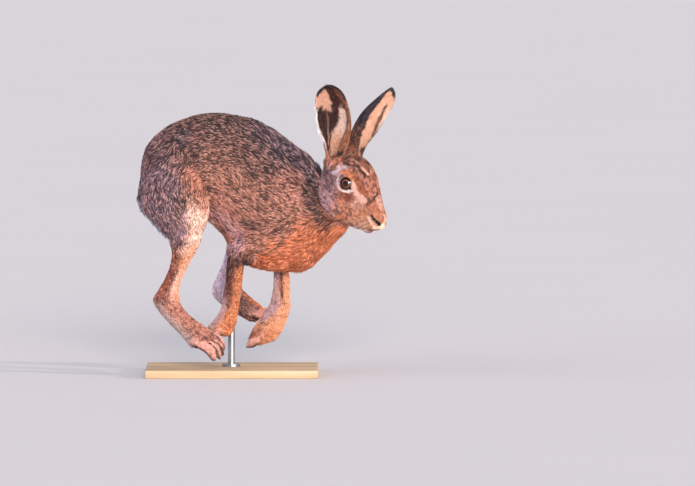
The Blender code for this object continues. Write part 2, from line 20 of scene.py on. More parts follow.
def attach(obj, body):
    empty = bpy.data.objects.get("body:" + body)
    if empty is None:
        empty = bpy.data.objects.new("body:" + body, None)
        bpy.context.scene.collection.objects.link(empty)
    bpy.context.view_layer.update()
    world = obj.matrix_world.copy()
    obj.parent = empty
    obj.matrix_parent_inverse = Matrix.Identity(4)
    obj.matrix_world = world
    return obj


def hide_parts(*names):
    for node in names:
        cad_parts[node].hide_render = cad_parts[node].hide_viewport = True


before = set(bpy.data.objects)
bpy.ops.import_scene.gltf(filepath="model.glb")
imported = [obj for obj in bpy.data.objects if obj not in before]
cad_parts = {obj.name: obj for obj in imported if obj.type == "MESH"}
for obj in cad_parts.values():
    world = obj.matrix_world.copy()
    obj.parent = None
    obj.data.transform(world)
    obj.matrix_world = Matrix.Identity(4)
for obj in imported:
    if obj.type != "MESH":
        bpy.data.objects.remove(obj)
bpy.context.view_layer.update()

Array = np.ndarray
Colour = tuple[float, float, float]
Point = tuple[float, float, float]
Row = tuple[float, ...]

MM = 0.001
LOG = logging.getLogger("brown_hare")


class Part(IntEnum):
    """What a stretch of skin belongs to."""

    TRUNK = 0
    TAIL = 1
    HIND_LEG = 2
    FORE_LEG = 3
    TOES = 4
    HEAD = 5
    EAR = 6


class Slot(Enum):
    """Names for material slots, which nothing in the script uses."""

    COAT = "coat"
    LEG_FUR = "leg_fur"
    TAIL_FUR = "tail_fur"
    EAR = "ear"
    EYE = "eye"


# Numbers and curves


def srgb(red: int, green: int, blue: int) -> Colour:
    """A linear colour from the 0 to 255 values of a screen colour.

    Args:
        red: red value.
        green: green value.
        blue: blue value.

    Returns:
        The colour as light adds up, each value from 0 to 1.
    """
    values = [v / 255 for v in (red, green, blue)]
    return tuple(v / 12.92 if v <= 0.04045 else ((v + 0.055) / 1.055) ** 2.4 for v in values)


def ramp(value: Array, low: float, high: float) -> Array:
    """A smooth rise from 0 to 1.

    Args:
        value: numbers of any shape.
        low: where the rise starts.
        high: where it ends, which may be below low for a fall.

    Returns:
        The risen values, in the shape of value.
    """
    t = np.clip((value - low) / (high - low), 0, 1)
    return t * t * (3 - 2 * t)


def unit(vectors: Array) -> Array:
    """Vectors at a length of one.

    Args:
        vectors: rows of three numbers.

    Returns:
        The rows divided by their lengths.
    """
    return vectors / np.maximum(np.linalg.norm(vectors, axis=-1, keepdims=True), 1e-12)


def grain(points: Array, size: float, seed: int) -> Array:
    """Smooth random values through space.

    Args:
        points: places in millimetres.
        size: distance over which the value changes.
        seed: another seed gives another pattern.

    Returns:
        A value from 0 to 1 for each point.
    """
    cell = np.floor(points / size).astype(np.int64)
    part = points / size - cell
    part = part * part * (3 - 2 * part)
    total = np.zeros(len(points))
    for corner in np.ndindex(2, 2, 2):
        at = cell + corner
        mixed = (at[:, 0] * 73856093) ^ (at[:, 1] * 19349663) ^ (at[:, 2] * 83492791) ^ (seed * 2654435761)
        mixed = (mixed ^ (mixed >> 13)) * 1274126177 & 0xFFFFFFFF
        mixed = (mixed ^ (mixed >> 16)) & 0xFFFFFF
        weight = np.prod(np.where(corner, part, 1 - part), axis=1)
        total += weight * mixed / 0xFFFFFF
    return total


def smooth_rows(rows: list[Row], per_span: int) -> Array:
    """Rows on a smooth curve through the given rows.

    Args:
        rows: rows of numbers.
        per_span: how many steps lie between two given rows.

    Returns:
        The finer rows.
    """
    given = np.array(rows, float)
    padded = np.vstack([2 * given[0] - given[1], given, 2 * given[-1] - given[-2]])
    found = []
    for a, b, c, d in zip(padded, padded[1:], padded[2:], padded[3:]):
        for t in np.linspace(0, 1, per_span, endpoint=False):
            bend = (2 * a - 5 * b + 4 * c - d) * t**2 + (3 * b - a - 3 * c + d) * t**3
            found.append(0.5 * (2 * b + (c - a) * t + bend))
    return np.array([*found, given[-1]])


def station(rear: tuple, front: tuple, y: float, half: float, square: float = 2.0, egg: float = 0.0) -> Row:
    """One ring of a loft.

    Args:
        rear: first point of the side view, at the rear or on the back.
        front: second point of the side view.
        y: distance from the middle of the body.
        half: half width.
        square: 2 for an ellipse, and more for a squarer ring.
        egg: above nought, the ring is wider towards its first point.

    Returns:
        The ring's numbers in one row.
    """
    return (*rear, *front, y, half, square, egg)


# Stations, first points at the rear or on the back


TRUNK: list[Row] = [
    station((-132, 272), (-126, 248), 0, 20),
    station((-133, 292), (-113, 238), 0, 35),
    station((-130, 316), (-95, 234), 0, 44, egg=0.05),
    station((-119, 340), (-76, 233), 0, 50, egg=0.08),
    station((-94, 362), (-58, 230), 0, 53, egg=0.10),
    station((-62, 376), (-42, 226), 0, 54, egg=0.12),
    station((-29, 382), (-27, 216), 0, 55, egg=0.14),
    station((4, 379), (-13, 202), 0, 56, egg=0.15),
    station((36, 369), (2, 180), 0, 56, egg=0.14),
    station((67, 352), (24, 160), 0, 55, egg=0.12),
    station((92, 332), (50, 152), 0, 51, egg=0.08),
    station((109, 318), (82, 150), -1, 45, egg=0.05),
    station((120, 307), (111, 155), -4, 40),
    station((127, 299), (135.5, 176.5), -9, 36),
    station((132, 293), (152, 195.5), -15, 32),
    station((139, 288), (167, 212), -20, 27),
]

TAIL: list[Row] = [
    station((-134, 286), (-120, 280), 0, 8),
    station((-137, 272), (-122, 266), 0, 12),
    station((-137, 257), (-118, 252), 0, 14),
    station((-133, 241), (-110, 240), 0, 14),
    station((-122, 226), (-101, 227), 0, 11),
    station((-110, 212), (-96, 215), 0, 7),
    station((-101, 203), (-93, 206), 0, 3.5),
]

SKULL: list[Row] = [
    station((2.5, -6), (1.5, -14.5), 0, 5),
    station((0, 1), (-1, -18.5), 0, 9.5),
    station((-4, 6), (-6, -23.5), 0, 12.5, 2.2),
    station((-12, 11), (-13, -28), 0, 15.5, 2.2),
    station((-22, 17), (-24, -37), 0, 17.5, 2.2),
    station((-35, 26.5), (-37, -43), 0, 20, 2.2),
    station((-48, 36), (-50, -47), 0, 23, 2.2),
    station((-60, 42.5), (-61, -49.5), 0, 26.5, 2.2),
    station((-73, 45.5), (-73, -52), 0, 29.5, 2.1),
    station((-86, 45.5), (-86, -51.5), 0, 31, 2.1),
    station((-98, 41), (-97, -46), 0, 30, 2.1),
    station((-109, 35), (-108, -36), 0, 27),
    station((-119, 26), (-117, -22), 0, 21),
    station((-126, 15), (-124, -8), 0, 13),
]

# Part of an ear's length, radius of the curve, degrees from the back line to a rim
WIDE_EAR: list[Row] = [
    (0.00, 12.5, 176),
    (0.12, 14.5, 158),
    (0.27, 19.3, 132),
    (0.41, 23.4, 108),
    (0.55, 24.8, 96),
    (0.68, 25.4, 88),
    (0.80, 25.0, 80),
    (0.91, 23.0, 72),
    (0.97, 19.0, 65),
    (1.00, 13.5, 56),
]
NARROW_EAR: list[Row] = [
    (0.00, 11.5, 168),
    (0.12, 12.0, 148),
    (0.27, 14.2, 120),
    (0.41, 18.0, 103),
    (0.55, 20.2, 93),
    (0.68, 19.6, 84),
    (0.80, 17.9, 75),
    (0.91, 16.0, 66),
    (0.97, 12.5, 56),
    (1.00, 7.5, 46),
]


# Rings and forms


def ring_of(row: Array, sides: int) -> Array:
    """The points of a station's ring.

    Args:
        row: a station.
        sides: how many points the ring has.

    Returns:
        The points, starting at the station's second point.
    """
    rear, front = row[[0, 4, 1]], row[[2, 4, 3]]
    half, square, egg = row[5:]
    angle = 2 * math.pi * np.arange(sides) / sides
    along, out = (np.sign(f(angle)) * np.abs(f(angle)) ** (2 / square) for f in (np.cos, np.sin))
    points = (rear + front) / 2 + np.outer(along, (front - rear) / 2)
    points[:, 1] += half * out * (1 - egg * along)
    return points


def domed(rings: Array) -> Array:
    """Rings with two smaller ones past each end, so that a loft ends in a dome.

    Args:
        rings: rings by sides by 3 numbers.

    Returns:
        The rings with four more.
    """
    made = list(rings)
    for end, inner in ((0, 1), (-1, -2)):
        middle = rings[end].mean(0)
        out = unit(middle - rings[inner].mean(0))
        reach = np.linalg.norm(rings[end] - middle, axis=1).min() * 0.8
        caps = []
        for angle in np.radians((35, 65)):
            caps.append(middle + (rings[end] - middle) * math.cos(angle) + out * reach * math.sin(angle))
        made = [caps[1], caps[0], *made] if end == 0 else [*made, caps[0], caps[1]]
    return np.array(made)


def limb_rings(stations: list[Row], per_span: int = 6, sides: int = 40) -> Array:
    """The rings of a smooth domed loft through stations.

    Args:
        stations: the stations.
        per_span: rings for each station.
        sides: points of each ring.

    Returns:
        The rings.
    """
    return domed(np.array([ring_of(row, sides) for row in smooth_rows(stations, per_span)]))


def finger_rings(path: list[Point], radii: list[float], sides: int = 16, per_span: int = 4) -> Array:
    """The rings of a round form along a path, such as a toe or a claw.

    Args:
        path: points that the form follows.
        radii: its radius at each point.
        sides: points of each ring.
        per_span: rings for each point of the path.

    Returns:
        The rings.
    """
    rows = smooth_rows([(*p, r) for p, r in zip(path, radii)], per_span)
    angle = 2 * math.pi * np.arange(sides) / sides
    rings = []
    for i, row in enumerate(rows):
        along = rows[min(i + 1, len(rows) - 1), :3] - rows[max(i - 1, 0), :3]
        side = unit(np.cross(along, (0, 0, 1)))
        up = unit(np.cross(side, along))
        rings.append(row[:3] + (np.outer(np.cos(angle), side) + np.outer(np.sin(angle), up)) * row[3])
    return domed(np.array(rings))


def loft_mesh(rings: Array) -> tuple[Array, list]:
    """The closed mesh over rings.

    Args:
        rings: rings by sides by 3 numbers.

    Returns:
        The points, and the faces as lists of point numbers.
    """
    count, sides = rings.shape[:2]
    faces = [list(range(sides)), list(range((count - 1) * sides, count * sides))]
    for start in range(0, (count - 1) * sides, sides):
        for k in range(sides):
            j = (k + 1) % sides
            faces.append([start + k, start + j, start + sides + j, start + sides + k])
    return rings.reshape(-1, 3), faces


@dataclass(frozen=True)
class Form:
    """A lofted form of the body.

    The fur runs with the rings, or against them where backwards is set.
    """

    part: Part
    rings: Array
    backwards: bool = False

    def lie(self) -> Array:
        """Which way the fur lies at each point of the rings."""
        way = np.gradient(self.rings, axis=0)
        return unit(-way if self.backwards else way).reshape(-1, 3)

    def along(self) -> Array:
        """How far along the form each point lies, from 0 to 1."""
        count, sides = self.rings.shape[:2]
        return np.repeat(np.linspace(0, 1, count), sides)

    def around(self) -> Array:
        """How far round the ring each point lies, from 0 to 1."""
        count, sides = self.rings.shape[:2]
        return np.tile(np.arange(sides) / sides, count)


@dataclass(frozen=True)
class Leg:
    """A leg from the hip or shoulder down, its two bends by station, and how its toes spread."""

    side: str
    names: tuple[str, str, str]
    stations: list[Row]
    bends: tuple[int, int]
    toe_root: Point
    toe_row: Point
    toe_way: Point
    toe_droop: Point
    toe_length: float
    toe_radius: float

    def toes(self) -> list[tuple[list[Array], list[float]]]:
        """Path and radii of four toes, the middle two longer, that bend down at the knuckle.

        Returns:
            For each toe, the points of its path and the radii at them.
        """
        row, way, droop = (unit(np.array(v, float)) for v in (self.toe_row, self.toe_way, self.toe_droop))
        made = []
        for place, reach in ((-1.5, 0.84), (-0.5, 1.0), (0.5, 1.0), (1.5, 0.84)):
            start = np.array(self.toe_root) + row * place * self.toe_radius * 1.2
            fan = unit(way + row * place * 0.07)
            knuckle = start + fan * self.toe_length * 0.55 * reach
            bend = knuckle + unit(fan + droop * 0.7) * self.toe_length * 0.25
            tip = bend + unit(fan * 0.4 + droop) * self.toe_length * 0.25 * reach
            radii = [self.toe_radius * f for f in (0.95, 1.0, 1.08, 1.0, 0.74)]
            made.append(([start - fan * 8, start, knuckle, bend, tip], radii))
        return made

    def valleys(self) -> list[tuple[Point, ...]]:
        """The paths half way between each toe and the next."""
        paths = [path[1:] for path, _ in self.toes()]
        return [tuple(tuple((a + b) / 2) for a, b in zip(one, other)) for one, other in zip(paths, paths[1:])]

    def forms(self) -> list[Form]:
        """The leg and its toes.

        Returns:
            The forms.
        """
        part = Part.HIND_LEG if "thigh" in self.names else Part.FORE_LEG
        toes = [Form(Part.TOES, finger_rings(*toe)) for toe in self.toes()]
        return [Form(part, limb_rings(self.stations)), *toes]

    def claws(self, length: float, radius: float) -> list[Array]:
        """The rings of a bent, tapered claw for each toe.

        Args:
            length: how far a claw stands out of its toe.
            radius: its radius at the root.

        Returns:
            The rings of each claw.
        """
        made = []
        for path, _ in self.toes():
            tip, out = path[-1], unit(path[-1] - path[-2])
            end = tip + out * length - np.array((0, 0, length / 8))
            middle = tip + out * length * 0.5 + np.array((0, 0, length / 14))
            radii = [radius, radius, radius * 0.75, radius * 0.2]
            made.append(finger_rings([tip - out * 4, tip, middle, end], radii, 12, 4))
        return made


HIND_NAMES = ("thigh", "shank", "hind_foot")
FORE_NAMES = ("upper_arm", "forearm", "fore_paw")

LEGS: list[Leg] = [
    Leg(
        "right",
        HIND_NAMES,
        [
            station((-113, 312), (-48, 336), -26, 24),
            station((-132, 276), (-35, 292), -37, 27),
            station((-128, 243), (-31, 252), -44, 26),
            station((-107, 217), (-33, 230), -48, 24),
            station((-93, 201), (-41, 209), -49, 20),
            station((-87, 184), (-49, 187), -50, 16),
            station((-89, 164), (-59, 168), -50, 13.5),
            station((-97, 144), (-70, 146), -49, 12),
            station((-106, 128), (-75, 130), -48, 11.5),
            station((-113, 113), (-75, 115), -48, 12),
            station((-106, 98), (-73, 106), -49, 12),
            station((-96, 86), (-67, 97), -51, 12.5),
            station((-83, 72), (-55, 86), -53, 13.5),
            station((-71, 60), (-42, 77), -54, 15),
            station((-61, 47), (-29, 68), -55, 16.5),
        ],
        bends=(4, 9),
        toe_root=(-41, -56, 56),
        toe_row=(0.42, 0.80, 0.42),
        toe_way=(0.88, 0, -0.47),
        toe_droop=(0.2, 0, -1),
        toe_length=32,
        toe_radius=6.8,
    ),
    Leg(
        "left",
        HIND_NAMES,
        [
            station((-112, 290), (-52, 344), 26, 24),
            station((-92, 256), (-20, 316), 37, 27),
            station((-58, 236), (8, 286), 45, 26),
            station((-30, 222), (26, 256), 50, 24),
            station((-16, 206), (32, 226), 51, 20),
            station((-9, 186), (28, 196), 51, 16.5),
            station((-14, 162), (18, 166), 51, 13.5),
            station((-21, 145), (10, 147), 50, 12),
            station((-27, 131), (6, 133), 49, 11.5),
            station((-29, 116), (6, 126), 49, 12),
            station((-21, 103), (10, 124), 51, 12),
            station((-6, 92), (17, 117), 55, 12.5),
            station((9, 82), (28, 107), 59, 13.5),
            station((23, 74), (39, 98), 62, 15),
        ],
        bends=(5, 9),
        toe_root=(36, 63, 86),
        toe_row=(0.15, 0.97, 0.1),
        toe_way=(0.92, 0.12, -0.36),
        toe_droop=(0.4, 0, -0.9),
        toe_length=32,
        toe_radius=6.8,
    ),
    Leg(
        "right",
        FORE_NAMES,
        [
            station((78, 262), (108, 250), -27, 13),
            station((54, 224), (92, 206), -30, 14),
            station((18, 208), (56, 180), -33, 14),
            station((-3, 192), (34, 180), -35, 13.5),
            station((-6, 172), (21, 166), -34, 12),
            station((-8, 154), (17, 151), -31, 11),
            station((-9, 137), (15, 134), -28, 10.4),
            station((-12, 116), (12, 113), -24, 10.4),
            station((-15, 100), (9, 94), -21, 10.6),
            station((-24, 84), (6, 77), -20, 10.8),
            station((-34, 72), (0, 62), -19, 11),
        ],
        bends=(5, 8),
        toe_root=(-20, -19, 62),
        toe_row=(0.1, 1, 0.1),
        toe_way=(-0.55, 0, -0.8),
        toe_droop=(-1, 0, -0.2),
        toe_length=20,
        toe_radius=5.2,
    ),
    Leg(
        "left",
        FORE_NAMES,
        [
            station((92, 262), (122, 250), 22, 12),
            station((82, 232), (118, 216), 25, 13),
            station((66, 206), (100, 182), 28, 13.5),
            station((58, 188), (88, 180), 29, 13.5),
            station((59, 166), (84, 164), 29, 12),
            station((60, 146), (83, 145), 28, 11),
            station((59, 122), (84, 119), 26, 11),
            station((55, 103), (84, 97), 25, 11),
            station((46, 90), (80, 81), 24, 11.5),
            station((38, 77), (72, 62), 23, 12),
            station((31, 66), (63, 50), 22, 12.5),
            station((27, 58), (50, 44), 22, 13),
        ],
        bends=(5, 7),
        toe_root=(38, 22, 51),
        toe_row=(0.1, 1, 0.1),
        toe_way=(-0.8, 0, -0.5),
        toe_droop=(-0.7, 0, -0.6),
        toe_length=16,
        toe_radius=5.8,
    ),
]


@dataclass(frozen=True)
class Ear:
    """A rolled leaf, open along one side, along the line of its back from the root to the tip."""

    name: str
    shape: list[Row]
    back: list[Point]
    opening: Point
    nick: float = 0.0
    nick_at: float = 0.75
    thickness: float = 2.6
    steps: int = 64
    arc: int = 44

    def root(self) -> Array:
        """The middle of the ear's root."""
        return np.array(self.back[0]) + unit(np.array(self.opening)) * self.shape[0][1]

    def rings(self) -> Array:
        """Rings of the ear, each the outer curve from rim to rim and then the inner one back.

        Returns:
            The rings.
        """
        path = smooth_rows(self.back, 12)
        lengths = np.concatenate([[0], np.cumsum(np.linalg.norm(np.diff(path, axis=0), axis=1))])
        shape = smooth_rows(self.shape, 8)
        opening = np.array(self.opening, float)

        def at(part: float) -> Array:
            """The point of the back line at a part of its length.

            Args:
                part: the part of the length, from the root.

            Returns:
                The row at each of them.
            """
            where = part * lengths[-1]
            point = np.array([np.interp(where, lengths, path[:, i]) for i in range(3)])
            past = where - min(max(where, 0), lengths[-1])
            return point + unit(path[-1] - path[-2]) * past

        rings = []
        for t in np.linspace(0, 1, self.steps) ** 0.85:
            along = unit(at(t + 0.02) - at(t - 0.02))
            towards = unit(opening - along * (along @ opening))
            across = np.cross(along, towards)
            radius, reach = (np.interp(t, shape[:, 0], shape[:, i]) for i in (1, 2))
            rear = reach - self.nick * max(0, 1 - abs(t - self.nick_at) / 0.035)
            angle = np.radians(np.linspace(-rear, reach, self.arc))
            way = np.outer(np.sin(angle), across) - np.outer(np.cos(angle), towards)
            edge = np.abs(angle) / math.radians(reach)
            thick = self.thickness * (1 - 0.55 * edge**4) * (1 - 0.55 * t**3)
            middle = at(t) + towards * radius
            outer = middle + way * (radius - 0.15)
            inner = middle + way * (radius - 0.15 - thick)[:, None]
            rings.append(np.vstack([outer, inner[::-1]]))
        return np.array(rings)


EARS: list[Ear] = [
    Ear(
        "ear_right",
        WIDE_EAR,
        [(153, -41, 308), (156, -41, 332), (157, -39, 354), (155, -41, 378), (148, -48, 404), (138, -58, 423)],
        opening=(-0.34, -0.94, 0.0),
        nick=16,
    ),
    Ear(
        "ear_left",
        NARROW_EAR,
        [(165, -20, 306), (169, -19, 330), (175, -17, 351), (189, -14, 375), (210, -10, 396), (232, -6, 415)],
        opening=(0.82, -0.57, -0.1),
    ),
]


# Head, in its own frame: the nose is the origin, x forward, y left and z up


@dataclass(frozen=True)
class HeadPlan:
    """Where the head is, and the places and sizes of what it carries, in its own frame."""

    nose: Point = (221.0, -80.0, 228.7)
    pitch: float = 38.0
    yaw: float = 36.0
    eye: Point = (-72.5, 21.3, 12.0)
    eye_axis: Point = (0.2, 1.0, 0.1)
    eye_radius: float = 10.2
    lid_radius: float = 10.5
    lid_thickness: float = 2.4
    lid_distance: float = 6.0

    def frame(self) -> Matrix:
        """The turn and place of the head's frame, in millimetres."""
        turn = Matrix.Rotation(math.radians(-self.yaw), 4, "Z") @ Matrix.Rotation(math.radians(self.pitch), 4, "Y")
        return Matrix.Translation(self.nose) @ turn

    def placed(self, points: Array) -> Array:
        """Points of the head's frame, in the row's frame."""
        turn = np.array(self.frame())
        return points @ turn[:3, :3].T + turn[:3, 3]

    def seen(self, points: Array) -> Array:
        """Points of the row's frame, in the head's."""
        turn = np.array(self.frame().inverted())
        return points @ turn[:3, :3].T + turn[:3, 3]

    def eye_middle(self, side: int) -> Array:
        """The middle of an eyeball, in the head's frame."""
        return np.array((self.eye[0], side * self.eye[1], self.eye[2]))

    def look(self, side: int) -> Array:
        """The way an eye looks, in the head's frame."""
        return unit(np.array((self.eye_axis[0], side * self.eye_axis[1], self.eye_axis[2])))


HEAD = HeadPlan()


def ball_rings(middle: Point, radii: Point, sides: int = 28, count: int = 18) -> Array:
    """The rings of a stretched ball, left open at a small disc at each pole.

    Args:
        middle: its middle.
        radii: its three half sizes.
        sides: points of each ring.
        count: how many rings.

    Returns:
        The rings.
    """
    polar = np.linspace(0.04, math.pi - 0.04, count)
    angle = 2 * math.pi * np.arange(sides) / sides
    flat = np.stack([np.cos(angle), np.sin(angle)], 1)
    rings = [np.hstack([flat * math.sin(p), np.full((sides, 1), math.cos(p))]) for p in polar]
    return np.array(rings) * np.array(radii) + np.array(middle)


def head_forms() -> list[Form]:
    """The skull, which carries the lie of the fur."""
    rings = limb_rings(SKULL, 8, 56)
    return [Form(Part.HEAD, HEAD.placed(rings.reshape(-1, 3)).reshape(rings.shape))]


def head_swellings() -> list[Array]:
    """Rings of what stands out of the skull: nose, chin, cheeks, whisker pads, brows and lids.

    Returns:
        The rings of each swelling.
    """
    made = [ball_rings((-3.8, 0, 0), (5.3, 7.8, 6)), ball_rings((-19, 0, -27), (12, 9, 8))]
    for side in (-1, 1):
        made += [
            ball_rings((-79, side * 15, -26), (33, 17, 28)),
            ball_rings((-13, side * 8.5, -11), (13.5, 9.5, 11.5)),
            ball_rings((-78, side * 18.5, 25), (18, 9, 8)),
        ]
    return [HEAD.placed(rings.reshape(-1, 3)).reshape(rings.shape) for rings in made]


def face_cuts() -> list[Array]:
    """Rings of the cleft of the lip, the nostrils, the mouth line and the eye sockets.

    Returns:
        The rings of each cut.
    """
    cuts = [finger_rings([(3, 0, -4), (5, 0, -10), (3, 0, -17)], [0.8, 1.1, 0.9], 12, 6)]
    for side in (-1, 1):
        nostril = [(-18, side * 17, 0), (-11, side * 14.5, -2), (-5, side * 11, -4.5), (-0.5, side * 7, -6.5)]
        cuts.append(finger_rings(nostril, [0.7, 2.0, 2.3, 1.6], 16, 8))
        cuts.append(ball_rings(HEAD.eye_middle(side), [HEAD.eye_radius + 0.05] * 3, 64, 48))
    lip = [(-31, 18, -23), (-20, 16.5, -20.5), (-8, 12.5, -19.5), (0, 6, -18.5), (2.5, 0, -17.5)]
    path = lip + [(x, -y, z) for x, y, z in reversed(lip[:-1])]
    cuts.append(finger_rings(path, [0.9] * 9, 12, 8))
    return [HEAD.placed(rings.reshape(-1, 3)).reshape(rings.shape) for rings in cuts]


# Skin


def torus_rings(side: int) -> Array:
    """The rings of the swelling of the lids round an eye, drawn out a little towards the nose.

    Args:
        side: 1 for the left eye, -1 for the right one.

    Returns:
        The rings, in the head's frame. The last one joins the first.
    """
    look = HEAD.look(side)
    forward = unit(np.array((1.0, 0, -0.25)) - look * (np.array((1.0, 0, -0.25)) @ look))
    up = unit(np.cross(look, forward)) * (1 if np.cross(look, forward)[2] > 0 else -1)
    middle = HEAD.eye_middle(side) + look * HEAD.lid_distance
    rings = []
    for turn in np.linspace(0, 2 * math.pi, 56, endpoint=False):
        out = forward * math.cos(turn) + up * math.sin(turn)
        corner = max(0.0, math.cos(turn)) ** 8
        reach = HEAD.lid_radius * (1 + 0.10 * corner)
        thick = HEAD.lid_thickness * (1 + 0.16 * max(0.0, math.sin(turn)) - 0.25 * corner)
        angle = 2 * math.pi * np.arange(16) / 16
        place = middle + out * reach - look * 1.2 * corner
        rings.append(place + (np.outer(np.cos(angle), out) + np.outer(np.sin(angle), look)) * thick)
    return np.array(rings)


def wrapped_mesh(rings: Array) -> tuple[Array, list]:
    """The closed mesh over rings whose last one joins the first.

    Args:
        rings: rings by sides by 3 numbers.

    Returns:
        The points, and the faces as lists of point numbers.
    """
    count, sides = rings.shape[:2]
    faces = []
    for i in range(count):
        here, there = i * sides, (i + 1) % count * sides
        for k in range(sides):
            j = (k + 1) % sides
            faces.append([here + k, here + j, there + j, there + k])
    return rings.reshape(-1, 3), faces


def linked(name: str, points: Array, faces: list) -> bpy.types.Object:
    """A new object in the scene, with its faces turned outwards.

    Args:
        name: its name.
        points: its vertices.
        faces: lists of point numbers.

    Returns:
        The object.
    """
    mesh = bpy.data.meshes.new(name)
    mesh.from_pydata(points.tolist(), [], faces)
    work = bmesh.new()
    work.from_mesh(mesh)
    bmesh.ops.recalc_face_normals(work, faces=work.faces)
    work.to_mesh(mesh)
    work.free()
    obj = bpy.data.objects.new(name, mesh)
    bpy.context.scene.collection.objects.link(obj)
    return obj


def settled(obj: bpy.types.Object) -> None:
    """Applies an object's modifiers.

    Args:
        obj: the object.
    """
    depsgraph = bpy.context.evaluated_depsgraph_get()
    old = obj.data
    obj.data = bpy.data.meshes.new_from_object(obj.evaluated_get(depsgraph), depsgraph=depsgraph)
    obj.modifiers.clear()
    bpy.data.meshes.remove(old)


def joined(name: str, meshes: list[tuple[Array, list]]) -> bpy.types.Object:
    """Several closed meshes as one object.

    Args:
        name: the object's name.
        meshes: points and faces of each mesh.

    Returns:
        The object.
    """
    points, faces, start = [], [], 0
    for own, sides in meshes:
        points.append(own)
        faces += [[i + start for i in side] for side in sides]
        start += len(own)
    return linked(name, np.vstack(points), faces)


def combined(obj: bpy.types.Object, others: list[bpy.types.Object], operation: str) -> None:
    """Joins closed objects to an object or cuts them from it, and removes them.

    Args:
        obj: the object that is changed.
        others: the closed objects.
        operation: UNION or DIFFERENCE.
    """
    for other in others:
        step = obj.modifiers.new(operation, "BOOLEAN")
        step.operation, step.solver, step.object = operation, "MANIFOLD", other
        settled(obj)
        bpy.data.objects.remove(other)


def places_of(mesh: bpy.types.Mesh) -> Array:
    """The places of a mesh's vertices.

    Args:
        mesh: the mesh.

    Returns:
        One row to a vertex.
    """
    found = np.empty(len(mesh.vertices) * 3, np.float32)
    mesh.vertices.foreach_get("co", found)
    return found.reshape(-1, 3).astype(float)


def normals_of(mesh: bpy.types.Mesh) -> Array:
    """The normals of a mesh's vertices.

    Args:
        mesh: the mesh.

    Returns:
        One row to a vertex.
    """
    found = np.empty(len(mesh.vertices) * 3, np.float32)
    mesh.vertex_normals.foreach_get("vector", found)
    return found.reshape(-1, 3).astype(float)


def put_back(mesh: bpy.types.Mesh, points: Array) -> None:
    """Moves a mesh's vertices to the given places."""
    mesh.vertices.foreach_set("co", points.astype(np.float32).ravel())
    mesh.update()


def spread(mesh: bpy.types.Mesh, values: Array, rounds: int) -> Array:
    """Values of a mesh's vertices, evened out over their neighbours.

    Args:
        mesh: the mesh.
        values: rows of numbers, one for each vertex.
        rounds: how many times each vertex takes the mean with its neighbours.

    Returns:
        The evened values.
    """
    edges = np.empty(len(mesh.edges) * 2, np.int32)
    mesh.edges.foreach_get("vertices", edges)
    a, b = edges.reshape(-1, 2).T
    size = len(mesh.vertices)
    near = np.maximum(np.bincount(a, minlength=size) + np.bincount(b, minlength=size), 1)
    values = values.astype(float).copy()
    for _ in range(rounds):
        for column in values.reshape(size, -1).T:
            total = np.bincount(a, column[b], size) + np.bincount(b, column[a], size)
            column[:] = 0.5 * column + 0.5 * total / near
    return values


@dataclass
class FormMap:
    """What each point of the skin belongs to.

    along and around go from 0 to 1 over the form, lie is the way of the fur, inner tells the
    inside of an ear, and form numbers the forms in order.
    """

    part: Array
    form: Array
    along: Array
    around: Array
    lie: Array
    inner: Array

    @classmethod
    def of(cls, points: Array, forms: list[Form], ears: list[Ear]) -> "FormMap":
        """Finds the nearest form of each point.

        Args:
            points: places in millimetres.
            forms: the lofted forms.
            ears: the ears, whose rings run round their outside and then back inside.

        Returns:
            The map.
        """
        every = [*forms, *(Form(Part.EAR, ear.rings()) for ear in ears)]
        sizes = [form.rings.shape[0] * form.rings.shape[1] for form in every]
        tree = KDTree(sum(sizes))
        for i, place in enumerate(np.vstack([form.rings.reshape(-1, 3) for form in every])):
            tree.insert(place, i)
        tree.balance()
        near = np.array([tree.find(place)[1] for place in points])
        number = np.repeat(np.arange(len(every)), sizes)
        around = np.concatenate([form.around() for form in every])[near]
        part = np.array([form.part for form in every])[number][near]
        inner = (part == Part.EAR) & (around >= 0.5)
        return cls(
            part=part,
            form=number[near],
            along=np.concatenate([form.along() for form in every])[near],
            around=np.where(inner, (1 - around) * 2, np.where(part == Part.EAR, around * 2, around)),
            lie=np.vstack([form.lie() for form in every])[near],
            inner=inner,
        )


